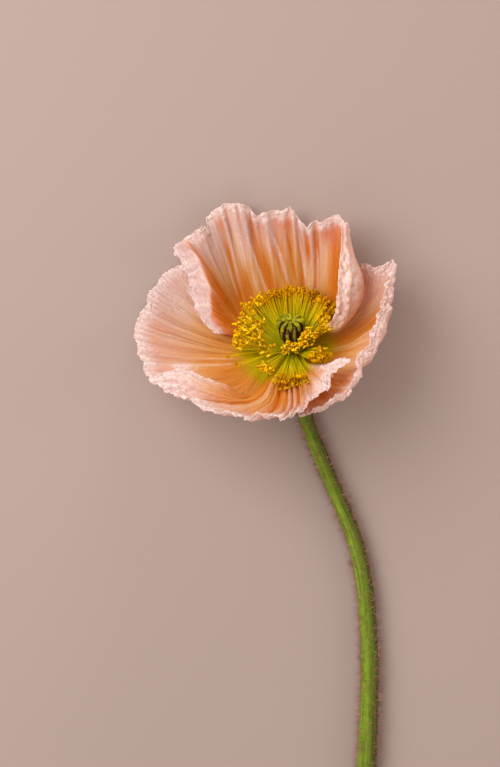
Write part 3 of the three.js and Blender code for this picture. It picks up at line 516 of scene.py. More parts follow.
def petal_sheet(claw, bearings, ribs, pleats, notches, turned, frills, frill, spare, cap, seed):
    """The crumpled middle surface of one petal and what its colours follow."""
    rng = np.random.default_rng(seed)
    feet = bloom_point(np.linspace(*bearings, len(ribs)), *claw)
    above_floor = [np.array(rib, float) + [0, 0, FLOOR] for rib in ribs]
    rib_lines = [through([foot, *rib], 300) for foot, rib in zip(feet, above_floor)]
    offset = None
    for across, along, rounds, share in CRUMPLE_GRIDS:
        place, up = np.meshgrid(np.linspace(0, 1, across), rows(along), indexing="ij")
        smooth = through([spaced(line, along) for line in rib_lines], across)
        outward = np.gradient(smooth, axis=1)
        outward /= np.linalg.norm(outward, axis=-1, keepdims=True) + 1e-9
        reach = np.interp(place, *np.array(notches, float).T) * smooth_step(up, 0.7, 1.0)
        height = pleat_height(pleats, place, up)
        base = rest_on_floor(smooth + outward * reach[..., None] + facing(smooth) * height[..., None])
        rim = smooth_step(up, 0.8, 1.0)
        if offset is None:
            wobble = rng.normal(size=(across, 1)) + 0.35 * rng.normal(size=(across, along))
            sheet = base + facing(base) * (FIRST_WOBBLE * wobble * np.clip(2 * up, 0, 1))[..., None]
        else:
            wobble = rng.normal(size=(across, along))
            sheet = base + spread(offset, across, along)
            sheet += facing(base) * (LATER_WOBBLE * wobble * (1 + rim))[..., None]
        room = cap * (np.clip(0.06 + 1.5 * up, 0, 1) + 0.8 * rim)
        spare_across = share * spare * np.clip((up - 0.06) / 0.45, 0, 1) * (1 + 1.2 * rim)
        spare_along = share * spare * (0.3 + 1.2 * rim)
        sheet = crumple(sheet, base, spare_across, spare_along, room, rounds)
        offset = sheet - base
    fine_cells, fine_height = FINE_PLEATS
    fine_pleats = np.clip(1 - 2 * np.abs(random_heights(rng, fine_cells, across, along)), -0.6, 1)
    fine_pleats *= smooth_step(up, 0.1, 0.35)
    over = smooth_step(up - np.interp(place, *np.array(turned, float).T), -0.01, 0.03)
    flap_cells, flap_height = FLAP_RIDGES
    ruffle = flap_height * over * random_heights(rng, flap_cells, across, along)
    for cells, height in RIM_RUFFLES:
        ruffle += height * random_heights(rng, cells, across, along)
    from_foot = np.cumsum(np.linalg.norm(np.diff(smooth, axis=1, prepend=smooth[:, :1]), axis=-1), axis=1)
    edging = smooth_step(from_foot - from_foot[:, -1:], -FRILL_DEPTH, -0.3)
    edging = np.maximum(edging, patches(frills, place, up))
    level = facing(smooth)
    sheet = sheet + level * (frill * ruffle * edging + fine_height * fine_pleats)[..., None]
    ragged_cells, ragged_height = RAGGED_EDGE
    ragged = ragged_height * random_heights(rng, ragged_cells, across, along) * smooth_step(up, 0.85, 1.0)
    sheet = rest_on_floor(sheet + outward * ragged[..., None])
    return sheet, ((sheet - smooth) * level).sum(-1), place, up, from_foot, edging, over


def relief(height, reach):
    """How far a sheet's height stands over its surroundings."""
    soft = height
    for _ in range(reach):
        soft = np.pad(soft, 1, mode="edge")
        soft = (soft[:-2, 1:-1] + 2 * soft[1:-1, 1:-1] + soft[2:, 1:-1]) / 4
    return height - soft


def shell(sheet, thickness):
    """Points and faces of a closed thin shell about a middle surface, its inner face first."""
    across, along = sheet.shape[:2]
    half = facing(sheet) * thickness / 2
    points = np.concatenate([(sheet + half).reshape(-1, 3), (sheet - half).reshape(-1, 3)])
    index = np.arange(across * along).reshape(across, along)
    quads = np.stack([index[:-1, :-1], index[1:, :-1], index[1:, 1:], index[:-1, 1:]], -1).reshape(-1, 4)
    rim = np.concatenate([index[:-1, 0], index[-1, :-1], index[:0:-1, -1], index[0, :0:-1]])
    after = np.roll(rim, -1)
    below = across * along
    sides = np.stack([rim, rim + below, after + below, after], -1)
    faces = np.concatenate([quads, quads[:, ::-1] + below, sides])
    grown_way = np.cross(np.gradient(sheet, axis=0), np.gradient(sheet, axis=1))
    if (grown_way * half).sum() < 0:
        faces = faces[:, ::-1]
    return points, faces.tolist()


def new_piece(name, points, faces, material, uv=None, values=None):
    """A mesh piece of the flower from points in millimetres, with its uv and named values."""
    mesh = bpy.data.meshes.new(name)
    mesh.from_pydata(((points + receptacle) * MM).tolist(), [], faces)
    mesh.polygons.foreach_set("use_smooth", [True] * len(mesh.polygons))
    for key, value in (values or {}).items():
        mesh.attributes.new(key, "FLOAT", "POINT").data.foreach_set("value", np.ravel(value))
    if uv is not None:
        layer = mesh.uv_layers.new(name="UVMap")
        corner = np.empty(len(mesh.loops), dtype=np.int32)
        mesh.loops.foreach_get("vertex_index", corner)
        layer.data.foreach_set("uv", uv.reshape(-1, 2)[corner].ravel())
    mesh.materials.append(material)
    mesh.update()
    piece = bpy.data.objects.new(name, mesh)
    bpy.context.collection.objects.link(piece)
    return piece


def node_maker(tree):
    """A maker of nodes in a tree, with their inputs linked or set."""

    def node(kind, inputs=(), **settings):
        made = tree.nodes.new(kind)
        for key, value in settings.items():
            setattr(made, key, value)
        for key, value in dict(inputs).items():
            if isinstance(value, bpy.types.NodeSocket):
                tree.links.new(value, made.inputs[key])
            else:
                made.inputs[key].default_value = value
        return made

    return node


def new_material(name):
    """An empty node material and a maker of nodes in it."""
    material = bpy.data.materials.new(name)
    material.use_nodes = True
    material.node_tree.nodes.clear()
    return material, node_maker(material.node_tree)


def maths(node, operation, *values, clamp=False):
    """The result of a maths node on its values."""
    return node("ShaderNodeMath", enumerate(values), operation=operation, use_clamp=clamp).outputs[0]


def attribute(node, key):
    """A value that the mesh holds at each of its points."""
    return node("ShaderNodeAttribute", attribute_name=key).outputs["Fac"]


def noise(node, where, scale, detail, roughness=0.5):
    """A mottled value between 0 and 1."""
    return node("ShaderNodeTexNoise", {
        "Vector": where, "Scale": scale, "Detail": detail, "Roughness": roughness,
    }).outputs["Fac"]


def bump(node, height, strength, distance, under=None):
    """Normals roughened by a height, on top of those of another bump."""
    inputs = {"Height": height, "Strength": strength, "Distance": distance}
    if under is not None:
        inputs["Normal"] = under
    return node("ShaderNodeBump", inputs).outputs["Normal"]


def ramp(node, value, stops):
    """A colour that follows a value, from (position, colour) stops."""
    made = node("ShaderNodeValToRGB", {"Fac": value})
    elements = made.color_ramp.elements
    elements[0].position, elements[0].color = stops[0][0], (*stops[0][1], 1)
    elements[1].position, elements[1].color = stops[-1][0], (*stops[-1][1], 1)
    for position, colour in stops[1:-1]:
        elements.new(position).color = (*colour, 1)
    return made.outputs["Color"]


def grey_ramp(node, value, stops):
    """A value that follows another, from (position, value) stops."""
    shades = ramp(node, value, [(position, (shade, shade, shade)) for position, shade in stops])
    return node("ShaderNodeSeparateColor", {"Color": shades}).outputs["Red"]


def mix(node, factor, one, other, blend="MIX"):
    """Two colours mixed by a factor."""
    made = node("ShaderNodeMix", data_type="RGBA", blend_type=blend)
    for socket, value in ((made.inputs[0], factor), (made.inputs[6], one), (made.inputs[7], other)):
        if isinstance(value, bpy.types.NodeSocket):
            made.id_data.links.new(value, socket)
        else:
            socket.default_value = value if isinstance(value, float) else (*value, 1)
    return made.outputs[2]


def skin_face(node, colour, roughness, shine, normal=None):
    """A surface of a colour, with its roughness, its shine and its normals."""
    inputs = {"Base Color": colour, "Roughness": roughness, "Specular IOR Level": shine}
    if normal is not None:
        inputs["Normal"] = normal
    return node("ShaderNodeBsdfPrincipled", inputs).outputs[0]


def put_on(node, face, glow=None, share=0.0):
    """Gives a material its surface, with a share of light that shines through from behind."""
    if glow is not None:
        face = node("ShaderNodeMixShader", {0: share, 1: face, 2: glow.outputs[0]}).outputs[0]
    node("ShaderNodeOutputMaterial", {"Surface": face})


def petal_material():
    """Thin crepe: orange in the pleats, partly painted shade and glow of light through the folds, pale pink
    toward the rim with painted highlights and glints, yellow-green at the claw.
    """
    material, node = new_material("petal_crepe")
    uv = node("ShaderNodeUVMap", uv_map="UVMap").outputs["UV"]
    place = node("ShaderNodeTexCoord").outputs["Object"]
    up = node("ShaderNodeSeparateXYZ", {"Vector": uv}).outputs["Y"]
    lengthwise = node("ShaderNodeMapping", {"Vector": uv, "Scale": (90, 3, 1)}).outputs["Vector"]
    veins = noise(node, lengthwise, 1.0, 4.0, 0.65)
    cloud = noise(node, place, 160.0, 4.0, 0.6)
    glint_noise = noise(node, place, 1000.0, 2.0, 0.7)
    crepe = noise(node, place, 900.0, 3.0, 0.6)
    vein_way = maths(node, "SUBTRACT", veins, 0.5)
    cloud_way = maths(node, "SUBTRACT", cloud, 0.5)
    glint_spread = node("ShaderNodeMapRange", {0: glint_noise, 1: 0.38, 2: 0.62, 3: 0.35, 4: 1.3}).outputs[0]
    pale_and_lit = attribute(node, "pale_and_lit")

    def streaked(value, amount):
        """A value broken up along the veins."""
        return maths(node, "MULTIPLY_ADD", vein_way, amount, value, clamp=True)

    skin = ramp(node, maths(node, "MULTIPLY_ADD", cloud_way, 0.3, up), [
        (0.0, (0.76, 0.33, 0.0)), (0.3, (0.78, 0.36, 0.03)), (0.6, (0.81, 0.43, 0.12)),
        (0.85, (0.82, 0.51, 0.35)), (1.0, (0.82, 0.60, 0.54)),
    ])
    # Orange for pleat hollows, patches and crease lines: partly the petal's own deeper orange, partly
    # painted shade and glow of light through the folds.
    orange = ramp(node, up, [(0.72, (0.74, 0.22, 0.0)), (0.95, (0.82, 0.36, 0.22))])
    skin = mix(node, streaked(attribute(node, "orange_and_shade"), 1.0), skin, orange)
    # Pale for the rim, the flap, lit patches, crest lines and pleat ridges: partly the petal's own paler
    # rim, partly painted light and painted highlight.
    pale = ramp(node, up, [(0.3, (0.86, 0.56, 0.27)), (0.6, (0.86, 0.61, 0.45)), (0.88, (0.84, 0.66, 0.65))])
    skin = mix(node, streaked(pale_and_lit, 0.9), skin, pale)
    skin = mix(node, maths(node, "MULTIPLY", attribute(node, "outside"), 0.55), skin, (0.88, 0.63, 0.56))
    # Painted glints: the crinkled rim and flap whitened, broken up by fine noise.
    rim_glint = maths(node, "MULTIPLY", attribute(node, "rim_glint"), glint_spread, clamp=True)
    skin = mix(node, rim_glint, skin, (0.96, 0.88, 0.88))
    green = grey_ramp(node, streaked(attribute(node, "claw"), 0.7), [(0.0, 0), (0.4, 0.5), (0.8, 1)])
    skin = mix(node, green, skin, (0.72, 0.61, 0.0))
    # Painted glints: fine white specks over the pale parts.
    painted_glints = maths(node, "MULTIPLY", grey_ramp(node, glint_noise, [(0.60, 0), (0.72, 0.8)]), pale_and_lit)
    skin = mix(node, painted_glints, skin, (0.96, 0.90, 0.90))
    vein_tone = ramp(node, veins, [(0.3, (0.90, 0.84, 0.80)), (0.65, (1, 1, 1))])
    skin = mix(node, 1.0, skin, vein_tone, "MULTIPLY")

    normal = bump(node, veins, 0.45, 0.0003, under=bump(node, crepe, 0.35, 0.0002))
    face = skin_face(node, skin, maths(node, "MULTIPLY_ADD", rim_glint, -0.22, 0.52), 0.2, normal)
    glow_tint = mix(node, rim_glint, (1.0, 0.90, 0.76), (1.0, 0.97, 0.95))
    glow_colour = mix(node, 1.0, skin, glow_tint, "MULTIPLY")
    glow = node("ShaderNodeBsdfTranslucent", {"Color": glow_colour, "Normal": normal})
    put_on(node, face, glow, 0.56)
    return material


# How strongly folds, pleats and fine lines are painted, orange as painted shade in their hollows and pale as
# painted highlight on their ridges: the height that counts at most, strength.
VALLEY_SHADE_TONES = [(1.5, 0.13), (0.5, 1.1), (0.15, 1.8)]
RIDGE_HIGHLIGHT_TONES = [(1.5, 0.06), (0.4, 0.6), (0.15, 2.2)]


def fold_paint_strength(heights, tones):
    """How strongly a petal is painted by the heights of its folds, pleats and fine lines: painted shade in
    the hollows, painted highlight on the ridges.
    """
    return sum(strength * np.clip(height, 0, most) for height, (most, strength) in zip(heights, tones))


petal_skin = petal_material()
for name, facts in PETALS.items():
    orange_shade_patches, pale_lit_patches, creases, crests, claw_reach = (
        facts.pop(key) for key in ("orange_shade_patches", "pale_lit_patches", "creases", "crests", "claw_reach")
    )
    sheet, depth, place, up, from_foot, edging, over = petal_sheet(**facts)
    points, faces = shell(sheet, PETAL_THICKNESS)
    fine = relief(depth, 10)
    heights = np.array([depth, fine, relief(depth, 3)])
    pale = np.clip(np.maximum(edging, over), 0, 1)
    # Orange patches and crease lines, partly painted shade.
    orange = np.maximum(patches(orange_shade_patches, place, up), lines(creases, place, up))
    # Pale patches and crest lines, partly painted light on shaded parts and painted highlight on ridges.
    light = np.maximum(patches(pale_lit_patches, place, up), lines(crests, place, up))
    # Painted glints on the crinkled rim and the folded-out flap, whitest on the crinkles' ridges.
    glinted_rim = np.maximum(edging, 0.65 * over) * (0.58 + 3 * np.clip(fine, -0.07, 0.4))
    # Painted highlight on the ridges of folds, pleats and fine lines.
    ridge_highlight = fold_paint_strength(heights, RIDGE_HIGHLIGHT_TONES) * smooth_step(up, 0.25, 0.85)
    inner = dict(
        # Painted shade: the hollows of folds, pleats and fine lines are made orange.
        orange_and_shade=np.clip((orange + fold_paint_strength(-heights, VALLEY_SHADE_TONES)) * (1 - over) - 0.45 * pale, 0, 1),
        pale_and_lit=np.clip(np.maximum(light, pale) + ridge_highlight, 0, 1),
        rim_glint=np.clip(glinted_rim, 0, 1),
        claw=1 - smooth_step(from_foot, *claw_reach),
        outside=np.zeros_like(depth),
    )
    outer = dict(inner, orange_and_shade=0.35 * inner["orange_and_shade"], outside=np.ones_like(depth))
    uv = np.stack([place, up], -1).reshape(-1, 2)
    petal = new_piece(
        name + "_crepe", points, faces, petal_skin,
        uv=np.concatenate([uv, uv]),
        values={key: np.concatenate([inner[key].ravel(), outer[key].ravel()]) for key in inner},
    )
    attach(petal, "root")
    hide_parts(name)

# ---- Stem ------------------------------------------------------------------------------------
# A soft green stalk with the receptacle at its top, grown as one. It bends up to the bloom and
# lies along the floor, bowed, and it is furred with fine reddish bristles.
STEM_SIDES = 40
STEM_RINGS = 420
HEAD_RINGS = 26
BRISTLE_LENGTH = 0.0030  # in metres, as the node trees take their sizes
BRISTLE_RADIUS = 0.000058
BRISTLE_TIP = 0.000008
BRISTLES_PER_M2 = 2.6e6
# The receptacle's profile down the bloom's axis: rise, radius.
RECEPTACLE = [(1.3, 0.1), (1.3, 3.4), (0.95, 4.05), (-0.8, 4.95), (-1.5, 4.6), (-2.6, 3.0)]
# The stem's centre line below it: x, y, height above the floor, radius.
STEM_LINE = [
    (0.6, -4.3, 6.1, 2.35), (1.9, -9.5, 3.4, 2.3), (3.3, -16, 2.4, 2.3), (4.8, -22.6, 2.35, 2.35),
    (6.2, -27, 2.4, 2.4), (10.4, -37.5, 2.4, 2.4), (15.8, -50.3, 2.45, 2.45), (21, -63.6, 2.55, 2.55),
    (24.2, -78, 2.65, 2.65), (25.5, -92.3, 2.75, 2.75), (26, -105, 2.85, 2.85), (25.8, -117, 2.95, 2.95),
    (25, -136.4, 3.1, 3.1), (23.6, -153, 3.15, 3.15), (21.4, -170, 3.2, 3.2), (19, -184, 3.2, 3.2),
]
LIFT = 1.06  # the stem's middle stays this many radii above the floor, clear of its own ridges


def round_faces(rings, sides):
    """The faces of a round body of rings of points, closed at both ends."""
    index = np.arange(rings * sides).reshape(rings, sides)
    beside = np.roll(index, -1, axis=1)
    quads = np.stack([index[:-1], beside[:-1], beside[1:], index[1:]], -1).reshape(-1, 4)
    return quads.tolist() + [index[0][::-1].tolist(), index[-1].tolist()]


def tube(line, radii, sides, wobble):
    """Points, faces and uv of a round body along a line, closed at both ends."""
    run = along_curve(line)
    ahead = np.gradient(line, axis=0)
    ahead /= np.linalg.norm(ahead, axis=1, keepdims=True)
    across = np.empty_like(line)
    last = np.array([1.0, 0, 0])
    for ring, along in enumerate(ahead):
        last = last - along * (last @ along)
        last = last / np.linalg.norm(last)
        across[ring] = last
    over = np.cross(ahead, across)
    turn = np.linspace(0, 2 * np.pi, sides, endpoint=False)
    out = np.cos(turn)[None, :, None] * across[:, None] + np.sin(turn)[None, :, None] * over[:, None]
    points = line[:, None] + out * (radii[:, None] * (1 + wobble(run[:, None], turn[None])))[..., None]
    uv = np.stack(np.broadcast_arrays(turn[None] / (2 * np.pi), run[:, None] * 0.1), -1)
    return points.reshape(-1, 3), round_faces(len(line), sides), uv.reshape(-1, 2)


def stem_wobble(run, turn):
    """Fine lengthwise ridges and slow swellings of the stem, in parts of its radius."""
    ridges = 0.018 * np.cos(11 * turn + 0.05 * run) + 0.012 * np.cos(7 * turn - 0.08 * run)
    return ridges + 0.012 * np.sin(0.35 * run) + 0.02


def stem_material():
    """Green skin in lengthwise streaks, with paler specks and one side darkened as painted shade."""
    material, node = new_material("stem_green")
    uv = node("ShaderNodeUVMap", uv_map="UVMap").outputs["UV"]
    place = node("ShaderNodeTexCoord").outputs["Object"]
    lengthwise = node("ShaderNodeMapping", {"Vector": uv, "Scale": (22, 0.4, 1)}).outputs["Vector"]
    streak = noise(node, lengthwise, 1.0, 4.0, 0.6)
    speck = noise(node, place, 1100.0, 2.0)
    cloud = noise(node, place, 70.0, 3.0)
    skin = ramp(node, streak, [
        (0.30, (0.075, 0.12, 0.0)), (0.5, (0.14, 0.225, 0.006)), (0.72, (0.21, 0.32, 0.018)),
    ])
    skin = mix(node, grey_ramp(node, speck, [(0.58, 0), (0.78, 0.45)]), skin, (0.32, 0.33, 0.05))
    dull = ramp(node, cloud, [(0.35, (0.86, 0.82, 0.78)), (0.65, (1, 1, 1))])
    skin = mix(node, 1.0, skin, dull, "MULTIPLY")
    # Painted shade: one side of the stem, away from the key lamp, is darkened.
    shaded_side = ramp(node, attribute(node, "shaded_side"), [
        (0.35, (1, 1, 1)), (0.72, (0.55, 0.52, 0.36)), (1.0, (0.22, 0.19, 0.10)),
    ])
    skin = mix(node, 1.0, skin, shaded_side, "MULTIPLY")
    normal = bump(node, speck, 0.5, 0.0002, under=bump(node, streak, 0.5, 0.0003))
    put_on(node, skin_face(node, skin, 0.6, 0.15, normal))
    return material


def bristle_material():
    """Reddish-brown bristles, some of them paler."""
    material, node = new_material("stem_hair")
    place = node("ShaderNodeTexCoord").outputs["Object"]
    cloud = noise(node, place, 500.0, 2.0)
    skin = ramp(node, cloud, [(0.35, (0.16, 0.05, 0.03)), (0.65, (0.40, 0.20, 0.12))])
    put_on(node, skin_face(node, skin, 0.45, 0.5))
    return material


def new_tree(name, inputs):
    """An empty geometry node tree with named inputs, and a maker of nodes in it."""
    tree = bpy.data.node_groups.new(name, "GeometryNodeTree")
    tree.interface.new_socket("Geometry", in_out="OUTPUT", socket_type="NodeSocketGeometry")
    tree.interface.new_socket("Geometry", in_out="INPUT", socket_type="NodeSocketGeometry")
    for key in inputs:
        tree.interface.new_socket(key, in_out="INPUT", socket_type="NodeSocketFloat")
    given = tree.nodes.new("NodeGroupInput")
    return tree, node_maker(tree), given.outputs


def vectors(node, operation, *values):
    """The result of a vector maths node on its values."""
    return node("ShaderNodeVectorMath", enumerate(values), operation=operation).outputs[0]


def random_number(node, low, high, seed):
    """A random number between two limits, for each point."""
    return node("FunctionNodeRandomValue", {2: low, 3: high, "Seed": seed}, data_type="FLOAT").outputs[1]


def random_lean(node, most, seed):
    """A random vector, for each point, that tips a direction by at most this much."""
    limits = {0: (-most, -most, -most), 1: (most, most, most), "Seed": seed}
    return node("FunctionNodeRandomValue", limits, data_type="FLOAT_VECTOR").outputs[0]


def pointing(node, way):
    """The turn that points Z along a direction."""
    return node("FunctionNodeAlignRotationToVector", {"Vector": way}, axis="Z").outputs[0]


def named(node, key, kind="FLOAT_VECTOR"):
    """A value that the mesh holds at each of its points."""
    return node("GeometryNodeInputNamedAttribute", {"Name": key}, data_type=kind).outputs["Attribute"]


def moved(node, geometry, **how):
    """Geometry with its points moved, by an offset or to a position."""
    return node("GeometryNodeSetPosition", {"Geometry": geometry, **how}).outputs[0]


def finished(node, geometry, material):
    """Geometry with a material on it."""
    return node("GeometryNodeSetMaterial", {"Geometry": geometry, "Material": material}).outputs[0]


def join_out(tree, node, *parts):
    """Joins the parts of a tree's geometry into what it gives out."""
    both = node("GeometryNodeJoinGeometry")
    for part in reversed(parts):
        tree.links.new(part, both.inputs[0])
    node("NodeGroupOutput", {0: both.outputs[0]})


def grown(piece, tree, values, name):
    """The plain mesh piece that a node tree makes from a piece, which it takes the place of."""
    modifier = piece.modifiers.new("grow", "NODES")
    modifier.node_group = tree
    for item in tree.interface.items_tree:
        if item.in_out == "INPUT" and item.name in values:
            modifier[item.identifier] = values[item.name]
    bpy.context.view_layer.update()
    ready = piece.evaluated_get(bpy.context.evaluated_depsgraph_get())
    mesh = bpy.data.meshes.new_from_object(ready)
    piece.modifiers.remove(modifier)
    bpy.data.objects.remove(piece)
    mesh.name = name
    made = bpy.data.objects.new(name, mesh)
    bpy.context.collection.objects.link(made)
    return made


def fur_tree(skin, bristle):
    """A skin set with thin tapering bristles, scattered, bowed and leaning at random."""
    tree, node, given = new_tree("fur", ["Density", "Length", "Radius"])
    density = maths(node, "MULTIPLY", given["Density"], named(node, "furred", "FLOAT"))
    spots = node("GeometryNodeDistributePointsOnFaces", {
        "Mesh": given["Geometry"], "Density": density, "Seed": 4,
    })
    cone = node("GeometryNodeMeshCone", {
        "Vertices": 3, "Side Segments": 2, "Radius Top": BRISTLE_TIP, "Radius Bottom": given["Radius"],
        "Depth": given["Length"],
    })
    where = node("GeometryNodeInputPosition").outputs[0]
    height = node("ShaderNodeSeparateXYZ", {"Vector": where}).outputs["Z"]
    bow = maths(node, "MULTIPLY", maths(node, "MULTIPLY", height, height), 90.0)
    hair = moved(node, cone.outputs["Mesh"], Offset=node("ShaderNodeCombineXYZ", {"X": bow}).outputs[0])
    way = vectors(node, "ADD", spots.outputs["Normal"], random_lean(node, 0.75, 9))
    spin = node("FunctionNodeAxisAngleToRotation", {
        "Axis": (0, 0, 1), "Angle": random_number(node, 0.0, 6.283, 2),
    })
    rotation = node("FunctionNodeRotateRotation", {0: pointing(node, way), 1: spin.outputs[0]},
                    rotation_space="LOCAL")
    hairs = node("GeometryNodeInstanceOnPoints", {
        "Points": spots.outputs["Points"], "Instance": hair, "Rotation": rotation.outputs[0],
        "Scale": random_number(node, 0.45, 1.15, 6),
    })
    real = node("GeometryNodeRealizeInstances", {"Geometry": hairs.outputs[0]})
    place = node("ShaderNodeSeparateXYZ", {"Vector": where}).outputs
    above_floor = node("ShaderNodeCombineXYZ", {
        "X": place["X"], "Y": place["Y"], "Z": maths(node, "MAXIMUM", place["Z"], 0.0001),
    })
    pressed = moved(node, real.outputs[0], Position=above_floor.outputs[0])
    join_out(tree, node, finished(node, given["Geometry"], skin), finished(node, pressed, bristle))
    return tree


stem_stations = [np.append(rise * axis, radius) for rise, radius in RECEPTACLE]
stem_stations += [np.array([x, y, height + FLOOR, radius]) for x, y, height, radius in STEM_LINE]
neck = len(RECEPTACLE) - 1
head = through(stem_stations[: neck + 1], HEAD_RINGS)
stalk = through(stem_stations[neck:], STEM_RINGS)
stalk[:, 2] = np.maximum(stalk[:, 2], stalk[:, 3] * LIFT + FLOOR)
stem_line = np.concatenate([head[:-1], stalk])

stem_skin, stem_bristle = stem_material(), bristle_material()
points, faces, uv = tube(stem_line[:, :3], stem_line[:, 3], STEM_SIDES, stem_wobble)
ring = np.repeat(np.arange(len(stem_line)), STEM_SIDES)
furred = (ring > HEAD_RINGS) & (ring < len(stem_line) - 1)  # none on the receptacle or the cut end
# One side of the stem is marked for painted shade.
bare_stem = new_piece("bare_stem", points, faces, stem_skin, uv=uv, values={
    "shaded_side": 0.5 + 0.5 * np.cos(2 * np.pi * uv[:, 0]),
    "furred": furred.astype(float),
})
stem = grown(bare_stem, fur_tree(stem_skin, stem_bristle), {
    "Density": BRISTLES_PER_M2, "Length": BRISTLE_LENGTH, "Radius": BRISTLE_RADIUS,
}, "stem_furred")
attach(stem, "root")
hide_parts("stem")

# ---- Pistil ----------------------------------------------------------------------------------
# The seed pod at the middle of the bloom: a ribbed barrel, dark between its ribs, partly its own
# maroon and partly painted shade, under a crown of velvety green stigma rays that droop over its
# shoulder. All of it grew as one.
POD_LEAN = math.radians(14)  # the pod leans further back than the bloom
POD_RAYS = 10
POD_FOOT = 1.6  # rise of its foot over the receptacle
POD_RINGS = 60
POD_SIDES = 14 * POD_RAYS
FURROW_DEPTH = 0.13  # in parts of the barrel's radius
# Rise over the foot and radius of the barrel.
POD_PROFILE = [
    (0, 0.2), (0.02, 1.5), (0.6, 2.3), (2.2, 3.2), (4.4, 3.9), (6.4, 4.1), (8.0, 3.8), (8.9, 3.0),
    (9.3, 0.2),
]
# One stigma ray: distance from the pod's axis, rise over the foot, radius of the ray.
RAY_LINE = [
    (0.7, 9.0, 0.16), (1.1, 9.3, 0.34), (1.8, 9.7, 0.50), (2.7, 9.9, 0.60), (3.5, 9.5, 0.64),
    (4.1, 8.6, 0.62), (4.35, 7.4, 0.58), (4.4, 6.3, 0.46), (4.38, 5.8, 0.28), (4.37, 5.6, 0.08),
]
CROWN_TOP = 9.9
RAY_RINGS = 22
RAY_SIDES = 12
pod_axis = axis * math.cos(POD_LEAN) + back * math.sin(POD_LEAN)
pod_back = back * math.cos(POD_LEAN) - axis * math.sin(POD_LEAN)
pod_foot = POD_FOOT * axis


def pod_point(turn, radius, rise):
    """A point of the pod from its turn in radians, distance from the pod's axis and rise."""
    turn, radius, rise = (np.asarray(v, float)[..., None] for v in (turn, radius, rise))
    return pod_foot + radius * (np.cos(turn) * side + np.sin(turn) * pod_back) + rise * pod_axis


def barrel():
    """The ribbed wall of the pod, with how deep each point lies in a furrow."""
    profile = through(POD_PROFILE, POD_RINGS)
    turn = np.linspace(0, 2 * np.pi, POD_SIDES, endpoint=False)
    furrow = 1 - np.abs(np.cos(0.5 * POD_RAYS * turn)) ** 0.7
    swell = smooth_step(profile[:, :1], 0.3, 2.0)
    radius = profile[:, 1:] * (1 - FURROW_DEPTH * swell * furrow[None])
    points = pod_point(turn[None], radius, profile[:, :1])
    return points.reshape(-1, 3), round_faces(POD_RINGS, POD_SIDES), np.tile(furrow, POD_RINGS)


def stigma_ray(number, turn, droop, sway, stoutness):
    """One knobbly ray of the crown that droops over the pod's shoulder."""
    reach, rise, radius = through(RAY_LINE, RAY_RINGS).T
    rise = CROWN_TOP + (rise - CROWN_TOP) * droop
    turn = turn + (0.05 * reach * sway + 0.05 * np.sin(0.9 * reach + 2 * number))

    def knobs(run, around):
        return 0.16 * np.sin(2.1 * run + number) + 0.12 * np.cos(3 * around + 1.3 * run)

    return tube(pod_point(turn, reach, rise), radius * stoutness, RAY_SIDES, knobs)[:2]


def pod_material():
    """Green ribs and rays with a velvet bloom, and dark furrows, partly their own maroon and partly painted
    shade.
    """
    material, node = new_material("pod_green")
    place = node("ShaderNodeTexCoord").outputs["Object"]
    cloud = noise(node, place, 450.0, 4.0, 0.65)
    cloud_way = maths(node, "SUBTRACT", cloud, 0.5)
    # The wall darkens into the furrows: partly the pod's own maroon, partly painted shade under the crown.
    wall = ramp(node, maths(node, "MULTIPLY_ADD", cloud_way, 1.2, attribute(node, "furrow")), [
        (0.0, (0.22, 0.22, 0.01)), (0.08, (0.10, 0.05, 0.004)), (0.28, (0.035, 0.008, 0.002)),
    ])
    velvet = ramp(node, cloud, [
        (0.35, (0.07, 0.065, 0.0)), (0.5, (0.21, 0.19, 0.0)), (0.68, (0.44, 0.40, 0.01)),
    ])
    skin = mix(node, attribute(node, "ray"), wall, velvet)
    normal = bump(node, noise(node, place, 2500.0, 2.0), 0.5, 0.00015)
    put_on(node, skin_face(node, skin, 0.7, 0.15, normal))
    return material


wall_points, pod_faces, furrows = barrel()
pod_parts = [wall_points]
rng = np.random.default_rng(21)
for number in range(POD_RAYS):
    turn = 2 * np.pi * (number + 0.12 * rng.normal()) / POD_RAYS + 0.3
    droop = rng.uniform(0.35, 0.85)
    sway = rng.normal()
    points, faces = stigma_ray(number, turn, droop, sway, rng.uniform(0.92, 1.08))
    start = sum(len(part) for part in pod_parts)
    pod_parts.append(points)
    pod_faces += [[start + corner for corner in face] for face in faces]
points = np.concatenate(pod_parts)
ray_points = len(points) - len(wall_points)
pistil = new_piece("pistil_ribbed", points, pod_faces, pod_material(), values={
    "ray": np.repeat([0.0, 1.0], [len(wall_points), ray_points]),
    "furrow": np.concatenate([furrows, np.zeros(ray_points)]),
})
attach(pistil, "root")
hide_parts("pistil")

# ---- Stamens ---------------------------------------------------------------------------------
# A dense ring of about eleven hundred fine stamens round the pod. Each is a thread-thin
# yellow-green filament from the receptacle that carries one granular golden anther.
FILAMENT_RADIUS = 0.00012  # in metres, as the node tree takes its sizes
ANTHER_SIZE = 0.00046
FILAMENT_FOOT = 1.35  # rise of a filament's foot, in the receptacle's flat top
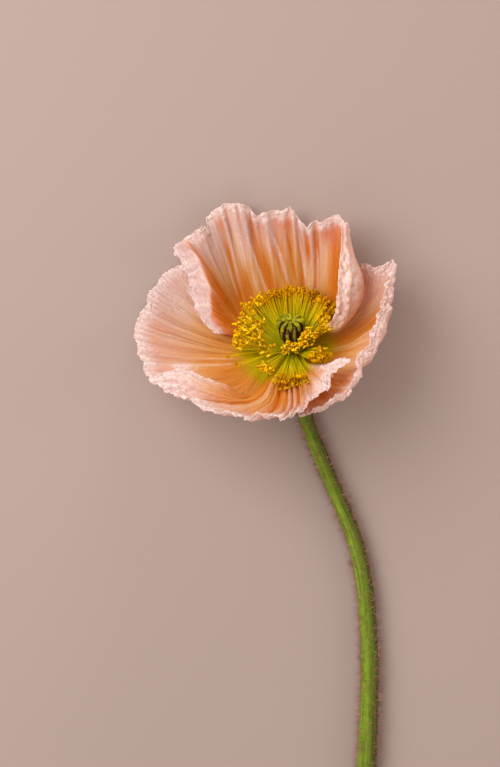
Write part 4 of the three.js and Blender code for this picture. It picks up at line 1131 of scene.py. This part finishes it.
# Where the anthers stand: bearing from and to, nearest and farthest from the axis, lowest and
# highest rise, darkest and lightest tone, how many. Groups that lie in shade get only dark tones,
# partly as painted shade.
STAMEN_GROUPS = [
    (56, 124, 12.2, 15.6, 11.0, 14.2, 0.0, 0.35, 247),
    (122, 152, 13.5, 19.0, 8.0, 12.0, 0.1, 0.8, 117),
    (150, 202, 9.5, 18.8, 6.0, 9.5, 0.3, 1.0, 176),
    (200, 235, 7.5, 13.0, 5.5, 8.0, 0.2, 0.9, 18),
    (232, 250, 15.5, 18.5, 5.5, 7.0, 0.2, 0.9, 34),
    (255, 286, 19.5, 24.8, 6.0, 9.0, 0.0, 0.45, 66),
    (293, 314, 14.5, 19.5, 9.5, 12.0, 0.0, 0.45, 62),
    (248, 292, 5.5, 9.0, 6.0, 9.0, 0.4, 1.0, 55),
    (292, 352, 5.5, 9.8, 8.0, 11.5, 0.3, 1.0, 109),
    (-12, 26, 9.5, 13.2, 9.0, 11.0, 0.2, 0.9, 68),
    (22, 60, 13.2, 16.8, 9.5, 12.5, 0.0, 0.45, 109),
    (177, 190, 17.0, 19.4, 4.0, 6.2, 0.1, 0.7, 18),
    (197, 200, 21.5, 22.3, 4.2, 4.8, 0.0, 0.3, 3),
    (211, 215, 20.8, 21.6, 4.8, 5.6, 0.0, 0.3, 3),
]


def filament_material():
    """Yellow-green threads, golden at their tips."""
    material, node = new_material("filament_green")
    skin = ramp(node, attribute(node, "way"), [
        (0.0, (0.72, 0.76, 0.0)), (0.5, (0.82, 0.70, 0.0)), (1.0, (0.86, 0.54, 0.0)),
    ])
    # Lighter with a higher tone; the low tones are partly painted shade.
    skin = mix(node, attribute(node, "tone"), skin, (0.80, 0.72, 0.02))
    glow = node("ShaderNodeBsdfTranslucent", {"Color": skin})
    put_on(node, skin_face(node, skin, 0.5, 0.1), glow, 0.45)
    return material


def anther_material():
    """Golden anthers dusted with pollen, some of them orange; their darker tones are partly painted shade.
    """
    material, node = new_material("anther_gold")
    place = node("ShaderNodeTexCoord").outputs["Object"]
    grain = noise(node, place, 2600.0, 3.0, 0.7)
    skin = ramp(node, attribute(node, "tone"), [
        (0.0, (0.46, 0.18, 0.0)), (0.3, (0.62, 0.29, 0.0)), (0.7, (0.77, 0.45, 0.0)),
        (1.0, (0.90, 0.65, 0.02)),
    ])
    dust = ramp(node, grain, [(0.35, (0.72, 0.62, 0.5)), (0.62, (1, 1, 1))])
    skin = mix(node, 1.0, skin, dust, "MULTIPLY")
    put_on(node, skin_face(node, skin, 0.85, 0.05, bump(node, grain, 0.8, 0.0002)))
    return material


def stamen_tree(thread, gold):
    """Filaments along a bend from each foot to its tip, and an anther set on each tip."""
    tree, node, given = new_tree("stamens", ["Filament radius", "Anther size"])
    foot, mid, tip = (named(node, key) for key in ("foot", "mid", "tip"))

    def between(one, other, way):
        made = node("ShaderNodeMix", {"Factor": way, 4: one, 5: other}, data_type="VECTOR")
        return made.outputs[1]

    straight = node("GeometryNodeCurvePrimitiveLine", {"Start": (0, 0, 0), "End": (0, 0, 0.001)})
    steps = node("GeometryNodeResampleCurve", {"Curve": straight.outputs[0], "Count": 8})
    points = node("GeometryNodeMeshToPoints", {"Mesh": given["Geometry"]})
    threads = node("GeometryNodeInstanceOnPoints", {
        "Points": points.outputs[0], "Instance": steps.outputs[0],
    })
    threads = node("GeometryNodeRealizeInstances", {"Geometry": threads.outputs[0]})
    way = node("GeometryNodeSplineParameter").outputs["Factor"]
    bend = between(between(foot, mid, way), between(mid, tip, way), way)
    marked = node("GeometryNodeStoreNamedAttribute", {
        "Geometry": moved(node, threads.outputs[0], Position=bend), "Name": "way", "Value": way,
    }, domain="POINT", data_type="FLOAT")
    section = node("GeometryNodeCurvePrimitiveCircle", {"Resolution": 4, "Radius": given["Filament radius"]})
    wires = node("GeometryNodeCurveToMesh", {
        "Curve": marked.outputs[0], "Profile Curve": section.outputs[0], "Fill Caps": True,
    })

    ball = node("GeometryNodeMeshIcoSphere", {"Subdivisions": 2, "Radius": given["Anther size"]})
    where = node("GeometryNodeInputPosition").outputs[0]
    grain = moved(node, ball.outputs["Mesh"], Position=vectors(node, "MULTIPLY", where, (0.8, 0.7, 1.7)))
    ahead = vectors(node, "NORMALIZE", vectors(node, "SUBTRACT", tip, mid))
    anthers = node("GeometryNodeInstanceOnPoints", {
        "Points": moved(node, points.outputs[0], Position=tip), "Instance": grain,
        "Rotation": pointing(node, vectors(node, "ADD", ahead, random_lean(node, 0.9, 3))),
        "Scale": random_number(node, 0.7, 1.25, 5),
    })
    anthers = node("GeometryNodeRealizeInstances", {"Geometry": anthers.outputs[0]})
    lumps = node("ShaderNodeTexNoise", {"Vector": where, "Scale": 1500.0, "Detail": 1.0})
    lumps = vectors(node, "SUBTRACT", lumps.outputs["Color"], (0.5, 0.5, 0.5))
    lumps = node("ShaderNodeVectorMath", {0: lumps, "Scale": 0.0013}, operation="SCALE").outputs[0]
    anthers = moved(node, anthers.outputs[0], Offset=lumps)
    join_out(tree, node, finished(node, wires.outputs[0], thread), finished(node, anthers, gold))
    return tree


rng = np.random.default_rng(34)
feet, mids, tips, tones = [], [], [], []
for bearing_from, bearing_to, near, far, low, high, dull, bright, count in STAMEN_GROUPS:
    for number in range(count):
        bearing = bearing_from + (bearing_to - bearing_from) * (number + rng.uniform(0, 1)) / count
        reach = rng.uniform(near, far)
        rise = rng.uniform(low, high)
        foot = rng.uniform(2.7, 3.6)
        feet.append(bloom_point(bearing, foot, FILAMENT_FOOT))
        sway = 0.35 * rng.normal(size=3)
        mids.append(bloom_point(bearing, foot + 0.5 * (reach - foot), 1.3 + 0.42 * rise) + sway)
        tips.append(bloom_point(bearing, reach, rise))
        tones.append(rng.uniform(dull, bright))
spots = bpy.data.meshes.new("stamen_feet")
spots.from_pydata(((np.array(feet) + receptacle) * MM).tolist(), [], [])
for key, places in (("foot", feet), ("mid", mids), ("tip", tips)):
    held = spots.attributes.new(key, "FLOAT_VECTOR", "POINT")
    held.data.foreach_set("vector", ((np.array(places) + receptacle) * MM).ravel())
spots.attributes.new("tone", "FLOAT", "POINT").data.foreach_set("value", tones)
stamen_feet = bpy.data.objects.new("stamen_feet", spots)
bpy.context.collection.objects.link(stamen_feet)
stamens = grown(stamen_feet, stamen_tree(filament_material(), anther_material()), {
    "Filament radius": FILAMENT_RADIUS, "Anther size": ANTHER_SIZE,
}, "stamen_ring")
for polygon in stamens.data.polygons:
    polygon.use_smooth = True
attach(stamens, "root")
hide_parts(*[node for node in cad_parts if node.startswith("stamen")])

# ---- Stage: floor, lights, camera ------------------------------------------------------------
# A plain board with soft light from the upper left, and the camera straight above the bloom.
BOARD_SIZE = 1.6
BOARD_DROP = 0.0002  # how far the board lies under what rests on it
BOARD_COLOUR = (0.280, 0.208, 0.181, 1)
ROOM_COLOUR = (1.0, 0.92, 0.88, 1)
ROOM_STRENGTH = 0.50
LIGHT_AIM = Vector((0.0, 0.04, 0.01))
# Each soft box: name, place, width, power, colour.
SOFT_BOXES = [
    ("key", (-0.37, 0.25, 0.50), 0.50, 4.5, (0.98, 0.99, 1.0)),
    ("overhead", (-0.28, 0.28, 0.75), 0.80, 2.6, (1.0, 0.95, 0.91)),
    ("front", (-0.16, -0.45, 0.45), 0.40, 1.2, (1.0, 0.96, 0.93)),
    ("right", (0.52, 0.02, 0.24), 0.30, 1.2, (1.0, 0.92, 0.86)),
    ("back", (0.15, 0.65, 0.13), 0.25, 1.7, (1.0, 0.95, 0.90)),
]
EYE_PLACE = np.array([-13.86, -11.385, 900.0])  # from the receptacle
LENS = 128
SENSOR_WIDTH = 36

bpy.ops.mesh.primitive_plane_add(size=BOARD_SIZE, location=(0, 0, -BOARD_DROP))
floor = bpy.context.object
floor.name = "floor"
paper, node = new_material("floor_paper")
put_on(node, skin_face(node, BOARD_COLOUR, 0.9, 0.5))
floor.data.materials.append(paper)

for name, place, width, power, colour in SOFT_BOXES:
    light = bpy.data.lights.new(name, "AREA")
    light.size = width
    light.energy = power
    light.color = colour
    lamp = bpy.data.objects.new(name, light)
    lamp.location = place
    lamp.rotation_euler = (LIGHT_AIM - Vector(place)).to_track_quat("-Z", "Y").to_euler()
    bpy.context.collection.objects.link(lamp)

world = bpy.data.worlds.new("studio")
world.use_nodes = True
world.node_tree.nodes["Background"].inputs["Color"].default_value = ROOM_COLOUR
world.node_tree.nodes["Background"].inputs["Strength"].default_value = ROOM_STRENGTH
bpy.context.scene.world = world
bpy.context.scene.view_settings.view_transform = "Standard"

camera = bpy.data.cameras.new("camera")
camera.lens = LENS
camera.sensor_width = SENSOR_WIDTH
camera.clip_start = 0.05
eye = bpy.data.objects.new("camera", camera)
eye.location = Vector((receptacle + EYE_PLACE) * MM)
bpy.context.collection.objects.link(eye)
bpy.context.scene.camera = eye
